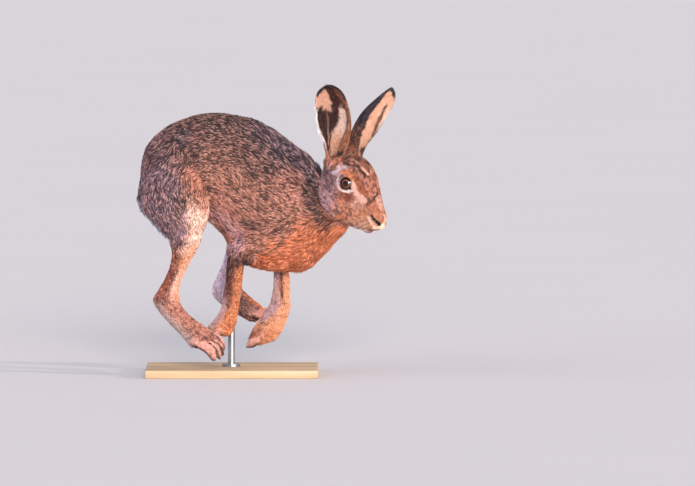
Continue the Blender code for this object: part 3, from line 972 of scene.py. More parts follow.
@dataclass(frozen=True)
class Skin:
    """The one skin under the coat, with the depths by which it is drawn in below the fur."""

    voxel: float = 1.0
    elbow_fur: Point = (24.0, -32.0, 172.0)
    elbow_radii: Point = (20.0, 13.0, 9.5)
    soften: int = 10
    trunk_depth: float = 3.0
    tail_depth: float = 3.5
    thigh_depth: float = 2.6
    shank_depth: float = 1.4
    foot_depth: float = 0.9
    head_depth: float = 0.9
    toe_groove: float = 1.6

    def forms(self) -> list[Form]:
        """The forms that carry the fur, without the ears.

        Returns:
            The forms.
        """
        made = [Form(Part.TRUNK, limb_rings(TRUNK, 6, 72), backwards=True), Form(Part.TAIL, limb_rings(TAIL))]
        for leg in LEGS:
            made += leg.forms()
        return made + head_forms()

    def depth(self, found: FormMap) -> Array:
        """How far the skin lies below the tips of the coat at each point.

        Args:
            found: what each point belongs to.

        Returns:
            The depth at each point, in millimetres.
        """
        leg = np.select(
            [found.along < 0.3, found.along < 0.6],
            [self.thigh_depth, self.shank_depth],
            self.foot_depth,
        )
        parts = (Part.TRUNK, Part.TAIL, Part.HIND_LEG, Part.FORE_LEG, Part.TOES, Part.HEAD)
        depths = [self.trunk_depth, self.tail_depth, leg, leg * 0.9, self.foot_depth * 0.8, self.head_depth]
        return np.select([found.part == part for part in parts], depths, self.head_depth)

    def body(self, forms: list[Form]) -> bpy.types.Object:
        """The forms fused, softened and drawn in, without the ears' leaves.

        Args:
            forms: the forms that carry the fur.

        Returns:
            The object, in millimetres.
        """
        meshes = [loft_mesh(form.rings) for form in forms]
        meshes += [loft_mesh(rings) for rings in head_swellings()]
        for side in (-1, 1):
            points, faces = wrapped_mesh(torus_rings(side))
            meshes.append((HEAD.placed(points), faces))
        meshes += [loft_mesh(ball_rings(ear.root() - (0, 0, 3), (16.6, 16.6, 16.6))) for ear in EARS]
        meshes.append(loft_mesh(ball_rings(self.elbow_fur, self.elbow_radii)))
        body = joined("skin", meshes)
        fuse = body.modifiers.new("fuse", "REMESH")
        fuse.mode, fuse.voxel_size = "VOXEL", self.voxel
        soft = body.modifiers.new("soften", "SMOOTH")
        soft.factor, soft.iterations = 0.5, self.soften
        settled(body)
        points = places_of(body.data)
        depth = spread(body.data, self.depth(FormMap.of(points, forms, [])), 40)
        depth += self.toe_grooves(points)
        put_back(body.data, points - normals_of(body.data) * depth[:, None])
        return body

    def toe_grooves(self, points: Array) -> Array:
        """How much deeper the skin lies between the toes.

        Args:
            points: the points, one to a row, in millimetres.

        Returns:
            The added depth at each point, in millimetres.
        """
        extra = np.zeros(len(points))
        for leg in LEGS:
            for path in leg.valleys():
                reach = Patch(TOE, path, 1).reach(points) / leg.toe_radius
                extra = np.maximum(extra, ramp(reach, 1.02, 0.84) * self.toe_groove)
        return extra

    def build(self, forms: list[Form]) -> bpy.types.Object:
        """The whole skin with ears and face, in millimetres.

        Args:
            forms: the forms that carry the fur.

        Returns:
            The skin.
        """
        body = self.body(forms)
        combined(body, [linked(ear.name, *loft_mesh(ear.rings())) for ear in EARS], "UNION")
        self.ease_ear_roots(body)
        combined(body, [linked("cut", *loft_mesh(rings)) for rings in face_cuts()], "DIFFERENCE")
        self.thin_body(body)
        return body

    def ease_ear_roots(self, body: bpy.types.Object) -> None:
        """Rounds the crease where each ear leaves the head.

        Args:
            body: the skin.
        """
        points = places_of(body.data)
        near = np.zeros(len(points))
        for ear in EARS:
            reach = np.linalg.norm((points - ear.root() - (0, 0, 12)) / (26, 26, 24), axis=1)
            near = np.maximum(near, ramp(reach, 1.0, 0.7))
        even = spread(body.data, points, 14)
        put_back(body.data, points + (even - points) * near[:, None])

    def thin_body(self, body: bpy.types.Object, keep: float = 0.3) -> None:
        """Makes the mesh coarser away from the head and ears.

        Args:
            body: the skin.
            keep: the part of the faces there that is kept.
        """
        points = HEAD.seen(places_of(body.data))
        away = ramp(np.linalg.norm((points - (-60, 0, 0)) / (100, 70, 70), axis=1), 1.0, 1.15)
        away *= ramp(places_of(body.data)[:, 2], 325, 315)
        group = body.vertex_groups.new(name="away")
        group.add(np.flatnonzero(away > 0.5).tolist(), 1.0, "REPLACE")
        thin = body.modifiers.new("thin", "DECIMATE")
        thin.vertex_group = "away"
        thin.ratio = 1 - (away > 0.5).mean() * (1 - keep)
        settled(body)
        body.vertex_groups.clear()


# Markings


@dataclass(frozen=True)
class Tone:
    """A colour of the coat, and how many of its tufts have a near-black or a pale tip, from 0 to 1."""

    colour: Colour
    dark: float = 0.0
    pale: float = 0.0

    def row(self) -> Array:
        """The five numbers."""
        return np.array((*self.colour, self.dark, self.pale))


BACK = Tone(srgb(98, 62, 56), 0.42, 0.3)
SADDLE = Tone(srgb(78, 54, 52), 0.52, 0.26)
# Nape: dark fur with painted bluish-purple highlights of sky light
NAPE = Tone(srgb(112, 94, 108), 0.5, 0.3)
SHOULDER = Tone(srgb(178, 118, 104), 0.24, 0.38)
PEACH = Tone(srgb(240, 168, 126), 0.02, 0.16)
DUSK = Tone(srgb(78, 62, 70), 0.5, 0.22)
FLANK = Tone(srgb(150, 100, 82), 0.27, 0.28)
LOW_FLANK = Tone(srgb(162, 106, 88), 0.16, 0.3)
CHEST = Tone(srgb(212, 122, 78), 0.05, 0.3)
BELLY = Tone(srgb(232, 218, 206), 0.0, 0.2)
# Rump: grey-brown fur tinted purple, partly painted bluish sky light
RUMP = Tone(srgb(128, 100, 110), 0.3, 0.3)
DUSTY = Tone(srgb(186, 142, 150), 0.1, 0.34)
FOLD = Tone(srgb(186, 124, 104), 0.1, 0.3)
CREAM = Tone(srgb(252, 210, 192), 0.0, 0.2)
LILAC = Tone(srgb(190, 158, 170), 0.1, 0.3)
SHANK_REAR = Tone(srgb(140, 76, 56), 0.2, 0.16)
FOOT = Tone(srgb(176, 118, 102), 0.14, 0.34)
SOLE = Tone(srgb(186, 158, 152), 0.06, 0.1)
TOE = Tone(srgb(236, 178, 164), 0.08, 0.26)
# Painted shade under and between the toes
TOE_SHADE = Tone(srgb(92, 58, 50), 0.35, 0.0)
INNER_LEG = Tone(srgb(204, 188, 208), 0.04, 0.2)
FAR_FOOT = Tone(srgb(140, 98, 90), 0.2, 0.3)
FORE_FRONT = Tone(srgb(218, 140, 94), 0.05, 0.2)
FORE_REAR = Tone(srgb(134, 72, 56), 0.22, 0.08)
# Painted shadow of the body: the top of the near foreleg, where it meets the body, and the strip behind the head
CAST_SHADOW = Tone(srgb(94, 54, 50), 0.4, 0.12)
FAR_FORE = Tone(srgb(234, 168, 130), 0.04, 0.25)
PALM = Tone(srgb(196, 162, 160), 0.04, 0.16)
WHITE = Tone(srgb(242, 234, 230), 0.0, 0.1)
BLUE_WHITE = Tone(srgb(214, 218, 232), 0.0, 0.1)
BROW = Tone(srgb(208, 194, 204), 0.05, 0.2)
SHADE = Tone(srgb(84, 50, 46), 0.4, 0.12)
BLACK = Tone(srgb(30, 24, 28), 0.6, 0.02)
FACE_TAN = Tone(srgb(186, 124, 96), 0.2, 0.26)
BRIDGE = Tone(srgb(184, 120, 98), 0.24, 0.3)
GREY_CHEEK = Tone(srgb(164, 124, 126), 0.26, 0.34)
TEMPLE = Tone(srgb(98, 72, 76), 0.34, 0.24)
CROWN = Tone(srgb(146, 92, 70), 0.32, 0.24)
UNDER_EYE = Tone(srgb(140, 74, 46), 0.22, 0.12)
ORANGE = Tone(srgb(206, 128, 80), 0.08, 0.16)
RUST = Tone(srgb(166, 92, 54), 0.14, 0.1)
PALE_TAN = Tone(srgb(228, 186, 168), 0.0, 0.2)
LIP_TAN = Tone(srgb(194, 126, 86), 0.08, 0.22)
# Near-black skin of the lid rims, also used as painted shade in the nostril slits
LID_RIM_AND_NOSTRIL_SHADE = Tone(srgb(30, 20, 20), 0.6, 0.0)
EAR_ROOT = Tone(srgb(190, 122, 92), 0.24, 0.24)
EAR_BROWN = Tone(srgb(142, 90, 62), 0.28, 0.16)
EAR_BACK = Tone(srgb(104, 66, 54), 0.35, 0.12)
EAR_DARK = Tone(srgb(72, 38, 31), 0.35, 0.04)
EAR_DEEP = Tone(srgb(74, 34, 28), 0.3, 0.0)
FRINGE = Tone(srgb(250, 216, 196), 0.0, 0.1)
LIP_PALE = Tone(srgb(248, 216, 194), 0.0, 0.2)
# Dark brown ear hair with a painted bluish reflection of the sky
EAR_DARK_SKY_SHEEN = Tone(srgb(58, 46, 60), 0.55, 0.06)
EAR_PEACH = Tone(srgb(232, 184, 158), 0.0, 0.2)


class Space(Enum):
    """The coordinates of a patch."""

    BODY = "body"
    HEAD = "head"


@dataclass(frozen=True)
class Patch:
    """A soft-edged spot or stroke of another tone, in the row's frame or the head's.

    It follows a path of one point or more. Mirrored, it shows on both sides, with its path on the
    left one.
    """

    tone: Tone
    path: tuple[Point, ...]
    radius: float
    strength: float = 1.0
    soft: float = 0.6
    space: Space = Space.BODY
    parts: tuple[Part, ...] = ()
    mirrored: bool = False

    def reach(self, points: Array) -> Array:
        """How far each point lies from the path.

        Args:
            points: the points, one to a row, in millimetres.

        Returns:
            The distance of each point, in millimetres.
        """
        near = np.linalg.norm(points - self.path[0], axis=1)
        for start, end in zip(self.path, self.path[1:]):
            start, run = np.array(start), np.subtract(end, start)
            part = np.clip((points - start) @ run / (run @ run), 0, 1)
            near = np.minimum(near, np.linalg.norm(points - start - part[:, None] * run, axis=1))
        return near

    def weight(self, points: Array, heads: Array, part: Array) -> Array:
        """How much of the tone shows at each point.

        Args:
            points: places in the row's frame.
            heads: the same places in the head's frame.
            part: what each point belongs to.

        Returns:
            A weight from 0 to 1 for each point.
        """
        where = (heads if self.space == Space.HEAD else points).copy()
        if self.mirrored:
            where[:, 1] = np.abs(where[:, 1])
        ragged = 1 + (grain(points, 3.5, 77) - 0.5) * 0.5
        reach = self.reach(where) / (self.radius * ragged)
        found = ramp(reach, 1 + self.soft / 2, 1 - self.soft / 2) * self.strength
        if self.parts:
            found = found * np.isin(part, [int(p) for p in self.parts])
        return found


def face(tone: Tone, radius: float, *path: Point, strength: float = 1.0, soft: float = 0.6) -> Patch:
    """A stroke on both sides of the face.

    Args:
        tone: its tone.
        radius: its half width.
        path: its path in the head's frame, on the left side.
        strength: how much of it shows.
        soft: how soft its edge is.

    Returns:
        The stroke.
    """
    return Patch(tone, path, radius, strength, soft, Space.HEAD, (Part.HEAD, Part.EAR), mirrored=True)


def toe_gaps(leg: Leg) -> list[Patch]:
    """Painted shade in the gaps between a leg's toes."""
    tone = TOE_SHADE
    return [Patch(tone, path, leg.toe_radius * 0.95, 0.8, 0.16, parts=(Part.TOES,)) for path in leg.valleys()]


BODY_PATCHES = [
    Patch(DUSK, ((-66, -38, 350), (-70, -36, 338)), 11, 0.85, parts=(Part.TRUNK, Part.HIND_LEG)),
    Patch(SADDLE, ((-64, -44, 330), (-60, -50, 312)), 7, 0.6),
    Patch(SADDLE, ((-118, -30, 330), (-110, -36, 318)), 8, 0.5),
    # Painted shadow in the strip of the neck behind the head
    Patch(CAST_SHADOW, ((98, 38, 292), (110, 37, 270), (120, 36, 248)), 7, 0.25, parts=(Part.TRUNK,), mirrored=True),
    Patch(SADDLE, ((28, -46, 220), (40, -48, 216)), 8, 0.55, parts=(Part.TRUNK,)),
    # Painted shadow where the near foreleg meets the body
    Patch(CAST_SHADOW, ((10, -44, 205), (22, -44, 200)), 6, 0.5),
    Patch(SADDLE, ((-72, -60, 258), (-80, -58, 236)), 10, 0.6, parts=(Part.HIND_LEG,)),
    Patch(FOLD, ((-56, 52, 298), (-46, 57, 272), (-40, 58, 250)), 10, 0.75, 1.2, mirrored=True),
    Patch(LILAC, ((-66, 62, 240), (-72, 62, 212)), 8, 0.8, parts=(Part.HIND_LEG,), mirrored=True),
    Patch(DUSTY, ((-24, 42, 224), (4, 42, 200)), 18, 0.9, 1.0, mirrored=True),
    Patch(DUSTY, ((-112, 30, 252), (-98, 40, 236)), 15, 0.5, 1.2, mirrored=True),
    Patch(FORE_REAR, ((71, 18, 150), (71, 17, 131), (73, 16, 114)), 2.4, 0.85, parts=(Part.FORE_LEG,)),
    Patch(LILAC, ((66, 15, 103), (53, 16, 89), (46, 16, 80)), 4.5, 0.85, 0.8, parts=(Part.FORE_LEG,)),
    Patch(FORE_REAR, ((30, 13, 60), (40, 12, 66)), 6, 0.6, 1.0),
    Patch(ORANGE, ((60, 12, 62), (44, 12, 46)), 7, 0.5, 1.0),
    Patch(CHEST, ((84, 30, 190), (70, 30, 176), (50, 32, 176)), 20, 0.6, parts=(Part.TRUNK,), mirrored=True),
    Patch(CREAM, ((-50, 58, 238), (-57, 58, 214), (-66, 58, 190)), 10, 0.85, 1.0, parts=(Part.HIND_LEG,), mirrored=True),
    Patch(PEACH, ((-60, 58, 190), (-70, 58, 168)), 9, 0.6, 1.0, parts=(Part.HIND_LEG,), mirrored=True),
    # Painted shade in a crease of the far fore paw and, further down, in the gaps between the near hind foot's toe
    # ridges
    Patch(TOE_SHADE, ((46, 15, 76), (53, 13, 74)), 1.7, 0.8),
    Patch(CREAM, ((-84, -66, 118), (-66, -68, 96), (-44, -68, 78), (-28, -66, 66)), 3.0, 0.5),
    Patch(TOE_SHADE, ((-60, -68, 84), (-46, -70, 70), (-36, -70, 58)), 2.0, 0.5),
    Patch(SHANK_REAR, ((-100, -50, 124), (-104, -52, 116)), 6, 0.7),
    Patch(TOE_SHADE, ((-46, -57, 84), (-36, -58, 72), (-26, -52, 64)), 1.1, 0.5),
    Patch(TOE_SHADE, ((-41, -59, 74), (-31, -60, 67), (-21, -55, 55)), 1.2, 0.6),
    Patch(CREAM, ((-44, -60, 79), (-33, -59, 70), (-24, -54, 60)), 1.2, 0.5),
    Patch(TOE_SHADE, ((-53, -67, 71), (-40, -69, 59)), 1.2, 0.5),
]
HEAD_PATCHES = [
    face(TEMPLE, 13, (-102, 28, 4), (-96, 30, -6), strength=0.7, soft=1.0),
    face(CROWN, 16, (-100, 10, 38), (-84, 12, 42), (-68, 8, 43), strength=0.85, soft=1.0),
    face(LILAC, 8, (-78, 31, -31), (-86, 30, -26), strength=0.25, soft=1.0),
    # Painted shadow on the neck under the rear edge of the cheek
    Patch(
        SHADE,
        ((-118, 26, -22), (-113, 25, -36), (-95, 27, -49), (-80, 23, -55), (-63, 14, -55)),
        7,
        0.7,
        1.0,
        Space.HEAD,
        (Part.TRUNK,),
        True,
    ),
    face(LILAC, 4, (-108, 26, -34), (-95, 27, -43), (-82, 25, -48), strength=0.45, soft=1.0),
    face(UNDER_EYE, 5.5, (-65, 27, -6), (-57, 24.5, -2), (-50, 22, -2), strength=0.95),
    face(ORANGE, 5, (-61, 27, -13), strength=0.75),
    face(ORANGE, 5.5, (-51, 21, -36), strength=0.75),
    face(PALE_TAN, 6.5, (-44, 21, -4), (-36, 19, -6), strength=0.45, soft=1.0),
    face(LILAC, 3.2, (-91, 30, 12), (-85, 28.5, 17), strength=0.7),
    face(ORANGE, 4.6, (-83, 26.5, 24), (-78, 26.5, 25), (-71, 26.5, 25), (-66, 26, 22)),
    face(RUST, 2.2, (-74, 23.5, 30), (-64, 21.5, 27), strength=0.85),
    face(RUST, 4, (-62, 21.5, 26), (-56, 20, 24), (-52, 18.5, 21), (-47, 17.5, 18), (-37, 14.5, 15), strength=0.9),
    face(PALE_TAN, 3.4, (-63, 26, 19), (-59, 24, 16), (-54, 23, 12), (-49, 21.5, 9)),
    face(PALE_TAN, 5, (-42, 19.5, 8), (-36, 17.5, 8), strength=0.9),
    face(LIP_TAN, 10, (-27, 17, -12), (-18, 14, -20), strength=0.8, soft=0.8),
    face(RUST, 5.5, (-24, 14, 7), (-16, 10, 8), strength=0.45, soft=1.0),
    face(PALE_TAN, 5, (-27, 1, 19), (-15, 0, 13), strength=0.6, soft=1.0),
    face(EAR_DARK, 1.5, (-29, 17, 5), (-27, 12, 13), (-30, 7, 20), (-31, 2, 23), strength=0.75),
    face(EAR_DARK, 1.2, (-34, 17, 12), (-27, 12, 13), strength=0.6),
    face(BROW, 2.8, (-94, 30.5, 14), (-93.5, 28, 20), (-90.5, 25, 25), (-86, 23, 29), strength=0.85, soft=1.0),
    face(WHITE, 1.5, (-86, 29, 14), (-81, 30.5, 6), (-75, 30, 0), (-68, 28.5, 0), (-62, 26.5, 4), (-57, 24.5, 9)),
    face(PALM, 8, (-14, 0, -33), (-26, 5, -40)),
    face(LIP_PALE, 2.2, (-17, 16, -6), (-11, 16, -8.5), (-3, 13.5, -11), strength=0.6),
    face(LIP_PALE, 3.6, (-2, 10, -14), (2, 5, -12), (2, 2, -8)),
    face(LIP_PALE, 2.2, (1.5, 1, -5), (0, 0, 2), (-5, 0, 6), strength=0.65, soft=1.0),
    # Painted shade in the nostril slits
    face(LID_RIM_AND_NOSTRIL_SHADE, 1.7, (-17, 16, -0.5), (-11, 14, -2.5), (-8, 12.6, -3.8), soft=0.3),
    face(LID_RIM_AND_NOSTRIL_SHADE, 2.2, (-10, 13.5, -3), (-5, 10.5, -5), soft=0.3),
    face(LID_RIM_AND_NOSTRIL_SHADE, 2.7, (-4.5, 10, -5), (-1, 7.3, -6), soft=0.3),
    face(EAR_DARK, 1.7, (-74, 15.5, 38), (-64, 14, 37), (-57, 12.5, 35), strength=0.75),
    face(EAR_PEACH, 1.9, (-69, 12, 40.5), (-63, 10.5, 39.5), (-58, 9, 38)),
    face(EAR_PEACH, 1.4, (-62, 3, 43), (-59, 3, 42), strength=0.7),
    face(EAR_DARK, 1.5, (-96, 20, 31), (-86, 21, 33.5), (-80, 18.5, 36.5), (-74, 15, 39), strength=0.85),
    face(EAR_PEACH, 2.2, (-89, 14, 40), (-81, 13, 42), strength=0.5),
    face(EAR_DARK, 2.0, (-94, 9, 43), (-85, 9, 44.5), (-77, 8, 45), strength=0.85),
    face(EAR_PEACH, 3, (-104, 5, 39), (-99, 4, 42), strength=0.7),
    face(EAR_ROOT, 9, (-118, 33, 26), (-106, 32, 24), strength=0.85, soft=0.9),
    face(EAR_DARK, 2.2, (-112, 35, 30), (-108, 35, 18), strength=0.5),
    face(EAR_DARK, 4, (-103, 21, 34), strength=0.7),
    # Painted shade in the hollow at the root of each ear
    face(BLACK, 4.5, (-106, 30, 37), (-107, 27, 40), strength=0.85),
]


@dataclass
class Marks:
    """The markings of each vertex: its tone, dark and pale tufts apart."""

    colour: Array
    dark: Array
    pale: Array

    @classmethod
    def of(cls, body: bpy.types.Object, found: FormMap) -> "Marks":
        """Paints the skin.

        Args:
            body: the skin, in millimetres.
            found: what each vertex belongs to.

        Returns:
            The markings.
        """
        points, normals = places_of(body.data), normals_of(body.data)
        heads = HEAD.seen(points)
        rows = cls.base(points, normals, found)
        rows = spread(body.data, rows, 10)
        rows = cls.ear_rows(rows, found, points)
        for patch in (*BODY_PATCHES, *HEAD_PATCHES, *(gap for leg in LEGS for gap in toe_gaps(leg))):
            weight = patch.weight(points, heads, found.part)[:, None]
            rows = rows * (1 - weight) + patch.tone.row() * weight
        for side in (-1, 1):
            reach = np.linalg.norm(heads - HEAD.eye_middle(side), axis=1)
            weight = ramp(reach, HEAD.eye_radius + 2.3, HEAD.eye_radius + 1.7)[:, None]
            rows = rows * (1 - weight) + LID_RIM_AND_NOSTRIL_SHADE.row() * weight
        return cls(rows[:, :3], rows[:, 3], rows[:, 4])

    @staticmethod
    def base(points: Array, normals: Array, found: FormMap) -> Array:
        """The tones by part, before the patches.

        Args:
            points: the points, one to a row, in millimetres.
            normals: the skin's normals at the points.
            found: what each point belongs to.

        Returns:
            One row of five numbers to a vertex.
        """
        x, _, z = points.T
        part, along = found.part, found.along
        up, side = -np.cos(2 * math.pi * found.around), np.sin(2 * math.pi * found.around)
        rows = np.tile(FLANK.row(), (len(points), 1))

        def put(weight: Array, tone: Tone) -> None:
            """Mixes a tone in."""
            mix = np.clip(weight, 0, 1)[:, None]
            rows[:] = rows * (1 - mix) + tone.row() * mix

        uneven = (grain(points, 22, 31) - 0.5) * 0.5
        trunk = part == Part.TRUNK
        put(trunk * ramp(up + uneven, 0.05, 0.55), BACK)
        put(trunk * ramp(up + uneven, 0.55, 0.95), SADDLE)
        put(trunk * ramp(up + uneven, 0.0, -0.5), LOW_FLANK)
        # The bluish nape tone along the top of the neck: dark fur with painted sky highlights
        put(trunk * ramp(up + 0.2 * uneven, 0.5, 0.9) * ramp(x, 10, 70), NAPE)
        front_of_shoulder = ramp(x, 58, 80) * ramp(x, 116, 100) * ramp(z, 236, 256) * ramp(z, 306, 284)
        put(trunk * front_of_shoulder * 0.7, SHOULDER)
        hind, fore = part == Part.HIND_LEG, part == Part.FORE_LEG
        high = ramp(z + 14 * uneven, 290, 330)
        # The rump tone carries painted bluish sky light over the rear
        put((trunk | (hind & (along < 0.4))) * ramp(x + 16 * uneven, -58, -96), RUMP)
        put(hind * (along < 0.45) * ramp(x, -60, -88), RUMP)
        put((trunk | hind) * high * ramp(x, 0, -60) * 0.6, BACK)
        line = np.interp(x, (20, 40, 98, 150), (158, 176, 216, 228))
        put(trunk * ramp(z + 24 * uneven, line + 26, line - 16), CHEST)
        put(trunk * ramp(normals[:, 2], -0.6, -0.88) * ramp(x, 30, 0), BELLY)
        front = -up
        outward = np.where(points[:, 1] < 0, -side, side)
        shank = hind * ramp(along, 0.28, 0.38)
        put(shank, SHANK_REAR)
        put(hind * ramp(along, 0.11, 0.2) * ramp(front + 0.3 * uneven, 0.0, 0.35), CREAM)
        put(hind * ramp(along, 0.3, 0.36) * ramp(front, 0.3, 0.7) * 0.7, PEACH)
        put(hind * ramp(along, 0.14, 0.30) * ramp(outward, 0.1, -0.4), INNER_LEG)
        foot = hind * ramp(along, 0.58, 0.68)
        put(foot, FOOT)
        put(foot * ramp(front, 0.0, -0.7), SOLE)
        hock = hind * (points[:, 1] > 0) * ramp(along, 0.36, 0.44) * ramp(along, 0.86, 0.76) * ramp(outward, 0.6, 0.1)
        put(hock, INNER_LEG)
        far_foot = hind * (points[:, 1] > 0) * ramp(along, 0.74, 0.84)
        put(far_foot * ramp(front, 0.8, 0.3), FAR_FOOT)
        put(far_foot * ramp(front, 0.5, 0.9), ORANGE)
        put(part == Part.TOES, TOE)
        # Painted shade under the toes
        put((part == Part.TOES) * ramp(normals[:, 2], -0.2, -0.7), TOE_SHADE)
        put(fore * ramp(along, 0.08, 0.3), LOW_FLANK)
        # Painted shadow of the body over the top of the foreleg
        put(fore * ramp(along, 0.26, 0.42), CAST_SHADOW)
        put(fore * ramp(along, 0.48, 0.6), FORE_REAR)
        put(fore * ramp(along, 0.40, 0.48) * ramp(front + 0.2 * uneven, -0.25, 0.15), FORE_FRONT)
        put(fore * ramp(along, 0.72, 0.82), FORE_FRONT)
        put(fore * ramp(along, 0.6, 0.75) * ramp(front, -0.2, -0.7), PALM)
        far = fore * (points[:, 1] > 0) * ramp(along, 0.3, 0.4)
        put(far, FAR_FORE)
        put(far * ramp(front, 0.1, -0.4) * ramp(along, 0.78, 0.66), PALM)
        put(far * ramp(along, 0.8, 0.9) * ramp(front, 0.6, 0.2) * 0.8, FOOT)
        tail = part == Part.TAIL
        put(tail, BLUE_WHITE)
        put(tail * ramp(along, 0.42, 0.2), BLACK)
        place = HEAD.seen(points)
        put(part == Part.HEAD, FACE_TAN)
        put((part == Part.HEAD) * ramp(place[:, 2] - np.abs(place[:, 1]), -4, 14), BRIDGE)
        put((part == Part.HEAD) * ramp(place[:, 0] + 0.4 * place[:, 2], -60, -90), GREY_CHEEK)
        return rows

    @staticmethod
    def ear_rows(rows: Array, found: FormMap, points: Array) -> Array:
        """The ears' markings, by their length and by the way across from the rear rim to the front one.

        Args:
            rows: the tones so far, one row to a vertex.
            found: what each point belongs to.
            points: the points, one to a row, in millimetres.

        Returns:
            The rows with the ears' markings.
        """
        rows = rows.copy()
        ear, inner = found.part == Part.EAR, found.inner
        first = found.form[ear].min()
        rough = (grain(points, 4, 51) - 0.5) * 0.06
        t, a = found.along + rough, found.around + rough * 0.6

        def put(weight: Array, tone: Tone) -> None:
            """Mixes a tone in."""
            mix = np.clip(weight, 0, 1)[:, None]
            rows[:] = rows * (1 - mix) + tone.row() * mix

        def band(value: Array, low: float, high: float, soft: float = 0.03) -> Array:
            """1 between two values, with soft edges."""
            return ramp(value, low - soft, low + soft) * ramp(value, high + soft, high - soft)

        near, far = ear & (found.form == first), ear & (found.form != first)
        put(ear, EAR_BROWN)
        put(ear * ~inner * band(a, 0.3, 0.7, 0.15) * ramp(t, 0.2, 0.5), EAR_DARK)
        inside = near * inner
        put(inside, EAR_DARK)
        put(inside * band(a, 0.33, 0.60), EAR_DEEP)
        put(inside * band(a, 0.67, 1.1) * ramp(t, 0.86, 0.78), EAR_BROWN)
        put(inside * band(a, 0.63, 0.86, 0.04) * ramp(t, 0.72, 0.82), EAR_BROWN)
        put(inside * ramp(t + a * 0.5, 0.78, 0.815) * ramp(a, 0.46, 0.42), EAR_PEACH)
        low = np.interp(t, (0.1, 0.17, 0.3, 0.41, 0.54, 0.63, 0.7), (0.33, 0.34, 0.39, 0.52, 0.59, 0.62, 0.64))
        high = np.interp(t, (0.1, 0.17, 0.3, 0.41, 0.54, 0.63, 0.7), (0.55, 0.58, 0.65, 0.74, 0.77, 0.77, 0.74))
        wall = inside * ramp(a, low - 0.015, low + 0.015) * ramp(a, high + 0.015, high - 0.015) * ramp(t, 0.68, 0.60)
        put(wall, FRINGE)
        put(wall * ramp(t, 0.36, 0.2), EAR_PEACH)
        put(inside * band(a, 0.295, 0.315, 0.012) * ramp(t, 0.62, 0.58) * (0.45 + 0.5 * ramp(t, 0.4, 0.3)), EAR_PEACH)
        put(near * ramp(a, 0.20 - 0.15 * ramp(t, 0.28, 0.42), 0.03) * ramp(t, 0.80, 0.77) * ramp(t, 0.12, 0.2), WHITE)
        put(near * ramp(a, 0.06, 0.03) * ramp(t, 0.2, 0.12), LILAC)
        back = far * ~inner
        # The far ear's back: dark brown hair with a painted bluish sheen of the sky
        put(back * ramp(t, 0.25, 0.45), EAR_DARK_SKY_SHEEN)
        put(back * ramp(t, 0.1, 0.2) * ramp(t, 0.4, 0.3), EAR_BACK)
        inside = far * inner
        start = np.interp(t, (0.17, 0.3, 0.46, 0.58, 0.76, 0.87, 0.95), (0.80, 0.73, 0.68, 0.59, 0.53, 0.42, 0.3))
        # Its inside starts from the same dark hair with the painted sky sheen
        put(inside, EAR_DARK_SKY_SHEEN)
        put(inside * ramp(a, start - 0.015, start + 0.02), EAR_PEACH)
        middle = 0.985 - 0.40 * (t - 0.38)
        put(inside * ramp(a, middle + 0.06, middle + 0.1) * ramp(t, 0.85, 0.75), FRINGE)
        put(inside * ramp(np.abs(a - middle), 0.055, 0.03) * band(t, 0.34, 0.82) * 0.85, EAR_DARK)
        put(ear * ramp(t, 0.93, 0.965), BLACK)
        put(near * ramp(a, 0.86, 0.93) * ramp(t, 0.7, 0.85), BLACK)
        return rows


# Coat


@dataclass(frozen=True)
class Lock:
    """How the tufts of a stretch of coat are made: sizes in millimetres, and the lift off the skin in radians."""

    length: float
    width: float
    lift: float
    spacing: float

    def row(self) -> Array:
        """The four numbers."""
        return np.array((self.length, self.width, self.lift, self.spacing))


@dataclass
class Roots:
    """Where the tufts stand: one row of each array for each tuft."""

    place: Array
    normal: Array
    lie: Array
    uv: Array
    lock: Array
    colour: Array
    dark: Array
    pale: Array
    group: Array


